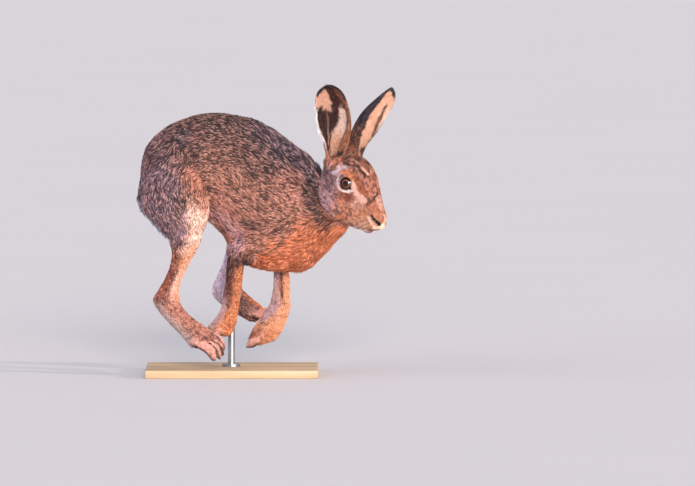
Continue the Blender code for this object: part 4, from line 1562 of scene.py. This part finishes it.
class Coat:
    """The tufts over the skin, in the lie of the fur."""

    BACK = Lock(9.5, 1.9, 0.16, 1.7)
    NAPE = Lock(12.5, 1.9, 0.36, 1.65)
    NECK = Lock(15.0, 2.0, 0.5, 1.65)
    BELLY = Lock(14.0, 1.8, 0.24, 1.75)
    CHEST = Lock(17.0, 1.7, 0.2, 1.75)
    RUMP = Lock(11.0, 1.9, 0.18, 1.75)
    TAIL = Lock(12.0, 2.2, 0.32, 1.7)
    SHANK = Lock(6.0, 1.4, 0.12, 1.55)
    FOOT = Lock(6.5, 1.2, 0.2, 1.35)
    TOES = Lock(4.5, 0.9, 0.2, 1.1)
    NOSE = Lock(1.6, 0.6, 0.16, 0.95)
    FACE = Lock(4.0, 0.8, 0.16, 1.05)
    CHEEK = Lock(6.5, 1.2, 0.20, 1.35)
    EAR = Lock(3.2, 0.9, 0.12, 1.2)
    EAR_INSIDE = Lock(4.5, 0.7, 0.16, 1.3)
    FRINGE = Lock(6.5, 0.9, 0.18, 1.0)
    WALL = Lock(7.5, 0.8, 0.24, 1.0)
    CROWN = Lock(6.0, 1.1, 0.3, 1.25)
    MOST = 19_500

    def __init__(self, body: bpy.types.Object, found: FormMap, marks: "Marks") -> None:
        """Measures the skin.

        Args:
            body: the skin, in millimetres, with its unwrap.
            found: what each vertex belongs to.
            marks: the markings of each vertex.
        """
        self.body, self.found, self.marks = body, found, marks
        self.dice = np.random.default_rng(5)
        self.points, self.normals = places_of(body.data), normals_of(body.data)
        self.lie = self.combed()
        self.locks = self.measured()

    def combed(self) -> Array:
        """The lie of the fur at each vertex, evened out over the skin and laid flat on it.

        Returns:
            A direction for each vertex.
        """
        lie = spread(self.body.data, self.found.lie, 40)
        wall = self.wall()[:, None]
        lie = lie * (1 - 0.8 * wall) + np.array((-1.0, 0.0, 0.1)) * wall
        lie -= self.normals * (lie * self.normals).sum(1, keepdims=True)
        return unit(lie)

    def wall(self) -> Array:
        """How much each vertex belongs to the pale front wall inside the right ear, whose hairs cross the cup.

        Returns:
            A weight from 0 to 1 for each vertex.
        """
        ear, t, a = self.found.part == Part.EAR, self.found.along, self.found.around
        right = self.found.form == self.found.form[ear].min()
        return ear * right * self.found.inner * ramp(a, 0.3, 0.5) * ramp(a, 0.86, 0.74) * ramp(t, 0.78, 0.7)

    def measured(self) -> Array:
        """Length, width, lift and spacing of the tufts at each vertex.

        Returns:
            Four numbers for each vertex.
        """
        part, along, up = self.found.part, self.found.along, -np.cos(2 * math.pi * self.found.around)
        rows = np.tile(self.BACK.row(), (len(part), 1))

        def put(where: Array, weight: Array | float, lock: Lock) -> None:
            """Mixes a lock in where a condition holds."""
            mix = (where * np.broadcast_to(weight, where.shape))[:, None]
            rows[:] = rows * (1 - mix) + lock.row() * mix

        trunk, tail, toes, ear = (part == p for p in (Part.TRUNK, Part.TAIL, Part.TOES, Part.EAR))
        hind, fore, head = (part == p for p in (Part.HIND_LEG, Part.FORE_LEG, Part.HEAD))
        put(trunk, ramp(up, 0.35, 0.85) * ramp(self.points[:, 0], 0, 50), self.NAPE)
        put(trunk, ramp(up, 0.35, 0.85) * ramp(self.points[:, 0], 84, 112), self.NECK)
        put(trunk, ramp(up, 0.1, -0.7), self.BELLY)
        put(trunk, ramp(up, 0.1, -0.5) * ramp(self.points[:, 0], 30, 70), self.CHEST)
        put(trunk | hind, ramp(self.points[:, 0], -50, -90), self.RUMP)
        put(tail, 1, self.TAIL)
        put(hind, ramp(along, 0.30, 0.42), self.SHANK)
        put(hind, ramp(along, 0.55, 0.68), self.FOOT)
        put(fore, ramp(along, 0.28, 0.42), self.FOOT)
        put(toes, 1, self.TOES)
        place = HEAD.seen(self.points)
        put(head, 1, self.CHEEK)
        put(head, ramp(place[:, 0] + 0.35 * place[:, 2], -95, -60), self.FACE)
        put(head, ramp(place[:, 0], -32, -10), self.NOSE)
        put(head, ramp(place[:, 0], -58, -75) * ramp(place[:, 2], 28, 36), self.CROWN)
        put(ear, 1, self.EAR)
        put(ear & self.found.inner, 1, self.EAR_INSIDE)
        put(ear, self.wall(), self.WALL)
        rows = spread(self.body.data, rows, 12)
        rim = ear * ramp(np.abs(self.found.around - 0.5), 0.455, 0.49)
        rows = rows * (1 - rim[:, None]) + self.FRINGE.row() * rim[:, None]
        return rows

    def bare(self) -> Array:
        """Where nothing grows: the eye sockets and lid margins, the nostrils and the line of the mouth.

        Returns:
            True for each bare vertex.
        """
        place = HEAD.seen(self.points)
        bare = np.zeros(len(place), bool)
        for side in (-1, 1):
            eye = np.linalg.norm(place - HEAD.eye_middle(side), axis=1)
            out = (place - HEAD.eye_middle(side)) @ HEAD.look(side)
            bare |= (eye < HEAD.eye_radius + 0.7) | ((eye < HEAD.eye_radius + 1.6) & (out > 3))
            nostril = np.array([(-16, 16, -0.7), (-13, 15, -1.5), (-9, 13, -2.8), (-5, 11, -4.5), (-1, 7.5, -6)]) * (1, side, 1)
            reach = np.linalg.norm(place[:, None, :] - nostril[None], axis=2).min(1)
            bare |= reach < 2.6
        return bare

    def rooted(self) -> Roots:
        """Spreads the roots over the skin, closer where the tufts are smaller.

        Returns:
            The roots.
        """
        mesh = self.body.data
        mesh.calc_loop_triangles()
        count = len(mesh.loop_triangles)
        corners, loops = np.empty(count * 3, np.int32), np.empty(count * 3, np.int32)
        mesh.loop_triangles.foreach_get("vertices", corners)
        mesh.loop_triangles.foreach_get("loops", loops)
        corners, loops = corners.reshape(-1, 3), loops.reshape(-1, 3)
        flat = np.empty(len(mesh.loops) * 2, np.float32)
        mesh.uv_layers["OFBake"].data.foreach_get("uv", flat)
        flat = flat.reshape(-1, 2)
        sides = self.points[corners]
        area = np.linalg.norm(np.cross(sides[:, 1] - sides[:, 0], sides[:, 2] - sides[:, 0]), axis=1) / 2
        grows = ~self.bare()[corners].any(1)
        wanted = np.cumsum(area * grows / self.locks[corners, 3].mean(1) ** 2)
        total = int(wanted[-1])
        face = np.searchsorted(wanted, (np.arange(total) + self.dice.random(total)) / total * wanted[-1])
        face = np.minimum(face, count - 1)
        first, second = self.dice.random((2, total))
        over = first + second > 1
        first[over], second[over] = 1 - first[over], 1 - second[over]
        weights = np.stack([1 - first - second, first, second], 1)
        chosen = corners[face]

        def at(values: Array) -> Array:
            """Values of the vertices at the roots."""
            return np.einsum("nk,nk...->n...", weights, values[chosen])

        normal = unit(at(self.normals))
        lie = at(self.lie)
        lie = unit(lie - normal * (lie * normal).sum(1, keepdims=True))
        nearest = chosen[np.arange(total), weights.argmax(1)]
        return Roots(
            place=at(self.points),
            normal=normal,
            lie=lie,
            uv=np.einsum("nk,nkd->nd", weights, flat[loops[face]]),
            lock=at(self.locks),
            colour=at(self.marks.colour),
            dark=at(self.marks.dark),
            pale=at(self.marks.pale),
            group=self.groups()[nearest],
        )

    def groups(self) -> Array:
        """A number for each vertex that tells which piece of coat it carries: twice the part, and 1 more for the left."""
        left = self.points[:, 1] > np.where(self.found.part == Part.HEAD, -60, 0)
        return self.found.part * 2 + left

    def tufts(self, roots: Roots) -> tuple[Array, Array, Array]:
        """The shapes and colours of the tufts.

        Args:
            roots: where they stand.

        Returns:
            Points (tufts by 7 by 3), colours (the same) and unwrap places (tufts by 7 by 2).
        """
        size = len(roots.place)
        length, width, lift, _ = roots.lock.T
        wave = (grain(roots.place, 13, 3) - 0.5) * 0.9 + self.dice.normal(0, 0.13, size)
        calm = ramp(length, 2, 9) * 0.75 + 0.25
        wave = (wave * calm)[:, None]
        across = np.cross(roots.normal, roots.lie)
        way = roots.lie * np.cos(wave) + across * np.sin(wave)
        across = np.cross(roots.normal, way)
        length = length * self.dice.uniform(0.72, 1.18, size)
        width = width * self.dice.uniform(0.75, 1.2, size)
        lift = lift * self.dice.uniform(0.5, 1.5, size) * (0.6 + 0.8 * grain(roots.place, 6, 9))
        half, up = (width / 2)[:, None], roots.normal
        rise, lean = np.sin(lift)[:, None], np.cos(lift)[:, None]
        reach = length[:, None]
        root = roots.place - up * 0.35
        middle = roots.place + (way * lean + up * rise) * reach * 0.45 + up * 0.15
        bend = np.sin(lift * 0.35)[:, None]
        tip = middle + (way + up * bend + across * self.dice.normal(0, 0.08, (size, 1))) * reach * 0.55
        points = np.stack(
            [
                root - across * half * 0.6,
                root + across * half * 0.6,
                root + up * half * 0.9,
                middle - across * half,
                middle + across * half,
                middle + up * half * 0.75,
                tip,
            ],
            1,
        )
        uv = np.tile(roots.uv[:, None, :], (1, 7, 1))
        uv += np.array([(-1, -1), (1, -1), (0, -0.6), (-0.8, 0.3), (0.8, 0.3), (0, 0.5), (0, 1)]) * 0.0015
        return points, self.tinted(roots), uv

    def tinted(self, roots: Roots) -> Array:
        """The colours of each tuft's points: darker at the root, with a dark, a pale or a plain tip.

        Args:
            roots: where the tufts stand.

        Returns:
            The colours of each point.
        """
        size = len(roots.place)
        fine = ramp(roots.lock[:, 0], 8, 4) * 0.26
        cluster = grain(roots.place, 2.6, 21) * (0.4 + fine) + grain(roots.place, 9, 22) * 0.12 + self.dice.random(size) * (0.48 - fine)
        order = (np.argsort(np.argsort(cluster)) / size)[:, None]
        dark = ramp(order - roots.dark[:, None], 0.10, -0.10)
        pale = ramp(order + roots.pale[:, None], 0.90, 1.10)
        base = roots.colour * self.dice.uniform(0.82, 1.18, (size, 1))
        black = base * 0.16 + np.array(srgb(26, 17, 24)) * 0.4
        light = base * 0.95 + np.array(srgb(220, 172, 150)) * 0.40
        tip = base * 1.05 * (1 - dark) + black * dark
        tip = tip * (1 - pale) + light * pale
        middle = base * (1 - dark * 0.9) + black * dark * 0.9
        middle = middle * (1 - pale * 0.8) + light * pale * 0.8
        # Darker roots: partly the hairs' own darker base, partly painted shade down among the tufts
        root = middle * 0.55
        return np.stack([root, root, root, middle, middle, middle, tip], 1)

    def build(self) -> None:
        """Builds the pieces of the coat."""
        material = FurFinish("coat", roughness=0.6, grain_amount=0.12).build()
        roots = self.rooted()
        points, colours, uv = self.tufts(roots)
        for group in np.unique(roots.group):
            members = np.flatnonzero(roots.group == group)
            side = "left" if group % 2 else "right"
            name = f"coat_{Part(group // 2).name.lower()}_{side}"
            for number in range(0, len(members), self.MOST):
                own = members[number : number + self.MOST]
                mark = chr(97 + number // self.MOST)
                obj = blade_piece(f"{name}_{mark}", points[own], colours[own], uv[own])
                finished(obj, material)


def blade_piece(name: str, points: Array, colours: Array, uv: Array) -> bpy.types.Object:
    """One object of closed three-sided blades.

    Args:
        name: its name.
        points: blades by 7 by 3, in millimetres: root, middle and tip.
        colours: blades by 7 by 3.
        uv: blades by 7 by 2.

    Returns:
        The object, in metres.
    """
    count = len(points)
    one = np.array(
        [(0, 2, 1), (0, 1, 4), (0, 4, 3), (1, 2, 5), (1, 5, 4), (2, 0, 3), (2, 3, 5), (3, 4, 6), (4, 5, 6), (5, 3, 6)]
    )
    corners = (one[None] + (np.arange(count) * 7)[:, None, None]).ravel()
    mesh = bpy.data.meshes.new(name)
    mesh.vertices.add(count * 7)
    mesh.vertices.foreach_set("co", (points * MM).astype(np.float32).ravel())
    mesh.loops.add(len(corners))
    mesh.loops.foreach_set("vertex_index", corners.astype(np.int32))
    mesh.polygons.add(count * 10)
    mesh.polygons.foreach_set("loop_start", np.arange(0, len(corners), 3, dtype=np.int32))
    mesh.update(calc_edges=True)
    mesh.uv_layers.new(name="OFBake").data.foreach_set("uv", uv.reshape(-1, 2)[corners].astype(np.float32).ravel())
    paint(mesh, colours.reshape(-1, 3))
    obj = bpy.data.objects.new(name, mesh)
    bpy.context.scene.collection.objects.link(obj)
    return obj


def paint(mesh: bpy.types.Mesh, colours: Array) -> None:
    """Puts the markings on a mesh's vertices.

    Args:
        mesh: the mesh.
        colours: a linear colour for each vertex.
    """
    layer = mesh.color_attributes.new("Markings", "FLOAT_COLOR", "POINT")
    full = np.hstack([np.clip(colours, 0, 1), np.ones((len(colours), 1))])
    layer.data.foreach_set("color", full.astype(np.float32).ravel())


# Finishes


def fresh_material(name: str, roughness: float) -> tuple[bpy.types.Material, bpy.types.Node]:
    """A new node material with a plain surface.

    Args:
        name: its name.
        roughness: its roughness.

    Returns:
        The material and its surface node.
    """
    material = bpy.data.materials.new(name)
    material.use_nodes = True
    surface = material.node_tree.nodes["Principled BSDF"]
    surface.inputs["Roughness"].default_value = roughness
    return material, surface


def noise_node(
    tree: bpy.types.NodeTree, scale: float, detail: float = 3.0, stretch: Point = (1, 1, 1)
) -> bpy.types.NodeSocket:
    """Noise over an object's own coordinates.

    Args:
        tree: the material's nodes.
        scale: its scale.
        detail: how fine it gets.
        stretch: factors for the three axes, smaller along the grain.

    Returns:
        The socket with the noise's value.
    """
    place = tree.nodes.new("ShaderNodeTexCoord")
    sized = tree.nodes.new("ShaderNodeMapping")
    sized.inputs["Scale"].default_value = stretch
    noise = tree.nodes.new("ShaderNodeTexNoise")
    noise.inputs["Scale"].default_value = scale
    noise.inputs["Detail"].default_value = detail
    tree.links.new(place.outputs["Object"], sized.inputs["Vector"])
    tree.links.new(sized.outputs["Vector"], noise.inputs["Vector"])
    return noise.outputs["Fac"]


def ramp_node(
    tree: bpy.types.NodeTree, value: bpy.types.NodeSocket, stops: list[tuple[float, Colour]]
) -> bpy.types.NodeSocket:
    """Colours over a value.

    Args:
        tree: the material's nodes.
        value: the socket that drives the colours.
        stops: places from 0 to 1, each with its colour.

    Returns:
        The socket with the colour.
    """
    node = tree.nodes.new("ShaderNodeValToRGB")
    ends = node.color_ramp.elements
    while len(ends) < len(stops):
        ends.new(0.5)
    for end, (place, colour) in zip(ends, stops):
        end.position, end.color = place, (*colour, 1)
    tree.links.new(value, node.inputs["Fac"])
    return node.outputs["Color"]


def bump_node(tree: bpy.types.NodeTree, value: bpy.types.NodeSocket, surface: bpy.types.Node, depth: float) -> None:
    """Bumps on a surface from a value.

    Args:
        tree: the material's nodes.
        value: the socket with the height.
        surface: the surface node.
        depth: the height's full depth in metres.
    """
    bump = tree.nodes.new("ShaderNodeBump")
    bump.inputs["Strength"].default_value = 0.6
    bump.inputs["Distance"].default_value = depth
    tree.links.new(value, bump.inputs["Height"])
    tree.links.new(bump.outputs["Normal"], surface.inputs["Normal"])


@dataclass(frozen=True)
class FurFinish:
    """Skin or tufts that show the markings, with a fine grain over them."""

    name: str
    roughness: float = 0.72
    grain_scale: float = 900.0
    grain_amount: float = 0.22
    bump: float = 0.0003

    def build(self) -> bpy.types.Material:
        """The material.

        Returns:
            The material.
        """
        material, surface = fresh_material(self.name, self.roughness)
        tree = material.node_tree
        marks = tree.nodes.new("ShaderNodeAttribute")
        marks.attribute_name = "Markings"
        value = noise_node(tree, self.grain_scale)
        low, high = 1 - self.grain_amount, 1 + self.grain_amount
        shade = ramp_node(tree, value, [(0.3, (low / 2,) * 3), (0.7, (high / 2,) * 3)])
        mixed = tree.nodes.new("ShaderNodeVectorMath")
        mixed.operation = "MULTIPLY"
        twice = tree.nodes.new("ShaderNodeVectorMath")
        twice.operation = "SCALE"
        twice.inputs["Scale"].default_value = 2.0
        tree.links.new(shade, twice.inputs[0])
        tree.links.new(twice.outputs[0], mixed.inputs[0])
        tree.links.new(marks.outputs["Color"], mixed.inputs[1])
        tree.links.new(mixed.outputs[0], surface.inputs["Base Color"])
        surface.inputs["Specular IOR Level"].default_value = 0.25
        surface.inputs["Sheen Weight"].default_value = 0.08
        bump_node(tree, value, surface, self.bump)
        return material


@dataclass(frozen=True)
class EyeFinish:
    """A wet eye: a dark pupil, an amber-brown iris and a dark rim, by the distance from the eye's axis."""

    pupil: float = 4.0
    iris: float = 6.6
    size: float = 10.0

    def build(self) -> bpy.types.Material:
        """The material, over an eyeball that looks along its own z axis.

        Returns:
            The material.
        """
        material, surface = fresh_material("eye_wet", 0.05)
        tree = material.node_tree
        place = tree.nodes.new("ShaderNodeTexCoord")
        split = tree.nodes.new("ShaderNodeSeparateXYZ")
        tree.links.new(place.outputs["Object"], split.inputs[0])
        squares = []
        for axis in "XY":
            square = tree.nodes.new("ShaderNodeMath")
            square.operation = "MULTIPLY"
            tree.links.new(split.outputs[axis], square.inputs[0])
            tree.links.new(split.outputs[axis], square.inputs[1])
            squares.append(square)
        total, root = tree.nodes.new("ShaderNodeMath"), tree.nodes.new("ShaderNodeMath")
        total.operation, root.operation = "ADD", "SQRT"
        for number, square in enumerate(squares):
            tree.links.new(square.outputs[0], total.inputs[number])
        tree.links.new(total.outputs[0], root.inputs[0])
        scaled = tree.nodes.new("ShaderNodeMath")
        scaled.operation = "DIVIDE"
        scaled.inputs[1].default_value = self.size * MM
        tree.links.new(root.outputs[0], scaled.inputs[0])
        rays = tree.nodes.new("ShaderNodeMath")
        rays.operation = "MULTIPLY_ADD"
        rays.inputs[1].default_value = 0.1
        tree.links.new(noise_node(tree, 700.0, 4.0), rays.inputs[0])
        tree.links.new(scaled.outputs[0], rays.inputs[2])
        pupil, iris = self.pupil / self.size + 0.05, self.iris / self.size + 0.05
        stops = [
            (pupil - 0.03, srgb(8, 10, 24)),
            (pupil + 0.03, srgb(70, 34, 16)),
            ((pupil + iris) / 2, srgb(142, 80, 54)),
            (iris - 0.05, srgb(104, 52, 36)),
            (iris + 0.03, srgb(12, 8, 7)),
        ]
        tree.links.new(ramp_node(tree, rays.outputs[0], stops), surface.inputs["Base Color"])
        surface.inputs["Specular IOR Level"].default_value = 0.0
        surface.inputs["Coat Weight"].default_value = 1.0
        surface.inputs["Coat Roughness"].default_value = 0.02
        return material


@dataclass(frozen=True)
class GrainFinish:
    """A surface of two tones that run along a grain: wood, steel or horn."""

    name: str
    tones: tuple[Colour, Colour]
    roughness: float
    scale: float
    stretch: Point = (1, 1, 1)
    metallic: float = 0.0
    bump: float = 0.0001

    def build(self) -> bpy.types.Material:
        """The material.

        Returns:
            The material.
        """
        material, surface = fresh_material(self.name, self.roughness)
        tree = material.node_tree
        value = noise_node(tree, self.scale, 5.0, self.stretch)
        colour = ramp_node(tree, value, [(0.35, self.tones[0]), (0.65, self.tones[1])])
        tree.links.new(colour, surface.inputs["Base Color"])
        surface.inputs["Metallic"].default_value = self.metallic
        bump_node(tree, value, surface, self.bump)
        return material


# Eyes, claws, whiskers and stand


def as_piece(
    name: str, points: Array, faces: list, material: bpy.types.Material
) -> bpy.types.Object:
    """A finished piece of the model that rides on the root.

    Args:
        name: its name.
        points: its vertices in millimetres.
        faces: lists of point numbers.
        material: its material.

    Returns:
        The object.
    """
    obj = linked(name, points * MM, faces)
    finished(obj, material)
    return obj


def finished(obj: bpy.types.Object, material: bpy.types.Material) -> None:
    """Gives a piece its material, slot and smooth shading, and puts it on the root.

    Args:
        obj: the piece.
        material: its material.
    """
    obj.data.materials.clear()
    obj.data.materials.append(material)
    obj.data.shade_smooth()
    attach(obj, "root")
    LOG.info("%s: %d faces", obj.name, len(obj.data.polygons))


@dataclass(frozen=True)
class Eyes:
    """The two eyeballs, a little smaller than their sockets, each with the bulge of its cornea."""

    radius: float = 10.0
    bulge: float = 0.7
    bulge_angle: float = 38.0

    def build(self) -> None:
        """Builds both eyes."""
        material = EyeFinish(size=self.radius).build()
        rings = ball_rings((0, 0, 0), (1, 1, 1), 64, 48)
        shape = rings.reshape(-1, 3)
        rise = ramp(np.degrees(np.arccos(np.clip(shape[:, 2], -1, 1))), self.bulge_angle, 0)
        points = unit(shape) * (self.radius + self.bulge * rise)[:, None]
        _, faces = loft_mesh(rings)
        for side, name in ((-1, "eye_right"), (1, "eye_left")):
            look = HEAD.frame().to_3x3() @ Vector(HEAD.look(side))
            eye = linked(f"{name}_wet", points * MM, faces)
            turn = look.to_track_quat("Z", "Y").to_matrix().to_4x4()
            eye.matrix_world = Matrix.Translation(HEAD.frame() @ Vector(HEAD.eye_middle(side)) * MM) @ turn
            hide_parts(name)
            finished(eye, material)


@dataclass(frozen=True)
class Claws:
    """The claws, four to a foot."""

    length: float = 4.6
    radius: float = 1.7

    def build(self) -> None:
        """Builds every claw as one piece."""
        horn = GrainFinish("horn", (srgb(38, 28, 24), srgb(92, 74, 62)), 0.38, 300, (1, 1, 0.4))
        points, faces, start = [], [], 0
        for leg in LEGS:
            for rings in leg.claws(self.length, self.radius):
                own, sides = loft_mesh(rings)
                points.append(own)
                faces += [[i + start for i in side] for side in sides]
                start += len(own)
        as_piece("claws", np.vstack(points), faces, horn.build())


@dataclass(frozen=True)
class Whiskers:
    """Long bristles on the whisker pads."""

    per_side: int = 18
    radius: float = 0.14
    length: float = 46.0

    def path(self, side: int, number: int, dice: np.random.Generator) -> tuple[list[Array], list[float]]:
        """Path and radii of one whisker.

        Args:
            side: 1 for the left, -1 for the right.
            number: its number, which sets its row and place.
            dice: random numbers.

        Returns:
            Points of the path in the head's frame, and its radii.
        """
        row, place = number % 4, number // 4
        root = np.array((-7.0 - 3.2 * place, side * (12.5 + 0.6 * place), -5.0 - 3.4 * row))
        way = unit(np.array((-0.1 - 0.1 * place, side * 0.6, -0.5 - 0.15 * row)) + dice.normal(0, 0.1, 3))
        length = self.length * dice.uniform(0.6, 1.0) * (0.62 + 0.07 * place)
        droop = np.array((-0.3, 0, -0.35))
        points = [root + way * length * t + droop * length * t**2 * 0.6 for t in (-0.06, 0.0, 0.3, 0.6, 1.0)]
        return points, [self.radius * f for f in (1, 1, 0.8, 0.5, 0.2)]

    def build(self) -> None:
        """Builds every whisker as one piece."""
        pale = GrainFinish("bristle", (srgb(205, 190, 172), srgb(240, 232, 222)), 0.45, 200)
        dice = np.random.default_rng(17)
        points, faces, start = [], [], 0
        for side in (-1, 1):
            for number in range(self.per_side):
                path, radii = self.path(side, number, dice)
                own, sides = loft_mesh(finger_rings([tuple(p) for p in path], radii, 4, 3))
                points.append(HEAD.placed(own))
                faces += [[i + start for i in face] for face in sides]
                start += len(own)
        as_piece("whiskers", np.vstack(points), faces, pale.build())


@dataclass(frozen=True)
class Stand:
    """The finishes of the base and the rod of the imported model."""

    wood: GrainFinish = GrainFinish(
        "pale_oak", (srgb(176, 148, 112), srgb(206, 182, 146)), 0.75, 38, (0.12, 1, 1), bump=0.0002
    )
    steel: GrainFinish = GrainFinish(
        "brushed_steel", (srgb(140, 142, 146), srgb(178, 180, 184)), 0.34, 900, (1, 1, 0.03), 0.9, 0.00002
    )

    def dress(self) -> None:
        """Puts the finishes on."""
        for name, finish in (("stand_base", self.wood), ("stand_rod", self.steel)):
            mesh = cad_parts[name].data
            mesh.materials.clear()
            mesh.materials.append(finish.build())
            LOG.info("%s: %s", name, finish.name)


# Studio


@dataclass(frozen=True)
class Studio:
    """Floor, lights, sky and the camera at the photo's angle and framing.

    Sizes are in metres here.
    """

    elevation: float = 4.0
    distance: float = 12.0
    aim: Point = (0.1675, 0.0, 0.1917)
    width: float = 1.008
    floor_tone: Colour = srgb(206, 206, 206)
    key_tone: Colour = (1.0, 0.84, 0.76)
    key_power: float = 3.1
    side_tone: Colour = (1.0, 0.78, 0.62)
    side_power: float = 2.2
    fill_tone: Colour = (0.72, 0.76, 1.0)
    fill_power: float = 1.7
    sky_tone: Colour = (0.84, 0.86, 1.0)
    sky_power: float = 0.55

    def floor(self) -> None:
        """A wide pale floor."""
        finish = GrainFinish("studio_floor", (self.floor_tone, tuple(c * 1.01 for c in self.floor_tone)), 0.9, 2)
        points = np.array([(-60, -60, 0), (60, -60, 0), (60, 60, 0), (-60, 60, 0)], float)
        floor = linked("studio_floor", points, [[0, 1, 2, 3]])
        floor.data.materials.append(finish.build())

    def sun(self, name: str, way: Point, tone: Colour, power: float, size: float, shine: bool = False) -> None:
        """A far, soft light, which shows either in the shading or in the shine of wet and metal surfaces.

        Args:
            name: its name.
            way: from the hare towards the light.
            tone: its colour.
            power: its strength.
            size: its width seen from the hare, in degrees.
            shine: whether it shows in the shine alone.
        """
        light = bpy.data.lights.new(name, "SUN")
        light.color, light.energy, light.angle = tone, power, math.radians(size)
        lamp = bpy.data.objects.new(name, light)
        lamp.rotation_euler = Vector(way).to_track_quat("Z", "Y").to_euler()
        lamp.visible_glossy, lamp.visible_diffuse = shine, not shine
        bpy.context.scene.collection.objects.link(lamp)

    def sky(self) -> None:
        """Even light from all round."""
        world = bpy.data.worlds.new("studio_sky")
        world.use_nodes = True
        back = world.node_tree.nodes["Background"]
        back.inputs["Color"].default_value = (*self.sky_tone, 1)
        back.inputs["Strength"].default_value = self.sky_power
        bpy.context.scene.world = world

    def camera(self) -> None:
        """The long lens of the photo."""
        lens = bpy.data.cameras.new("camera")
        lens.sensor_width = 36
        lens.lens = 36 * self.distance / self.width
        lens.clip_end = 500
        camera = bpy.data.objects.new("camera", lens)
        tilt = math.radians(self.elevation)
        back = Vector((0, -math.cos(tilt), math.sin(tilt)))
        camera.location = Vector(self.aim) + back * self.distance
        camera.rotation_euler = back.to_track_quat("Z", "Y").to_euler()
        bpy.context.scene.collection.objects.link(camera)
        bpy.context.scene.camera = camera

    def build(self) -> None:
        """Builds the studio."""
        self.floor()
        self.sun("key", (0.1, -0.94, 0.32), self.key_tone, self.key_power, 20)
        self.sun("side", (0.88, -0.4, 0.26), self.side_tone, self.side_power, 5)
        self.sun("fill", (-0.85, -0.35, 0.35), self.fill_tone, self.fill_power, 60)
        self.sun("shine", (0.44, -0.85, 0.27), (1.0, 1.0, 1.0), 7.0, 18, shine=True)
        self.sky()
        self.camera()
        view = bpy.context.scene.view_settings
        view.view_transform, view.look, view.exposure = "Standard", "None", 0.0


def unwrapped(obj: bpy.types.Object) -> None:
    """Lays the skin out flat in a map named OFBake.

    Args:
        obj: the object.
    """
    obj.data.uv_layers.new(name="OFBake")
    bpy.context.view_layer.objects.active = obj
    obj.select_set(True)
    bpy.ops.object.mode_set(mode="EDIT")
    bpy.ops.mesh.select_all(action="SELECT")
    bpy.ops.uv.smart_project(angle_limit=math.radians(66), island_margin=0.002)
    bpy.ops.object.mode_set(mode="OBJECT")
    obj.select_set(False)


def main() -> None:
    """Builds the hare, its coat and its surroundings."""
    logging.basicConfig(level=logging.INFO, format="%(message)s")
    skin = Skin()
    forms = skin.forms()
    body = skin.build(forms)
    found = FormMap.of(places_of(body.data), forms, EARS)
    marks = Marks.of(body, found)
    unwrapped(body)
    paint(body.data, marks.colour * (1 - 0.45 * marks.dark[:, None]))
    Coat(body, found, marks).build()
    put_back(body.data, places_of(body.data) * MM)
    finished(body, FurFinish("skin").build())
    flesh = [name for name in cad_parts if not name.startswith(("stand_", "eye_"))]
    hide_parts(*flesh)
    Eyes().build()
    Claws().build()
    Whiskers().build()
    Stand().dress()
    Studio().build()


if __name__ == "__main__":
    main()
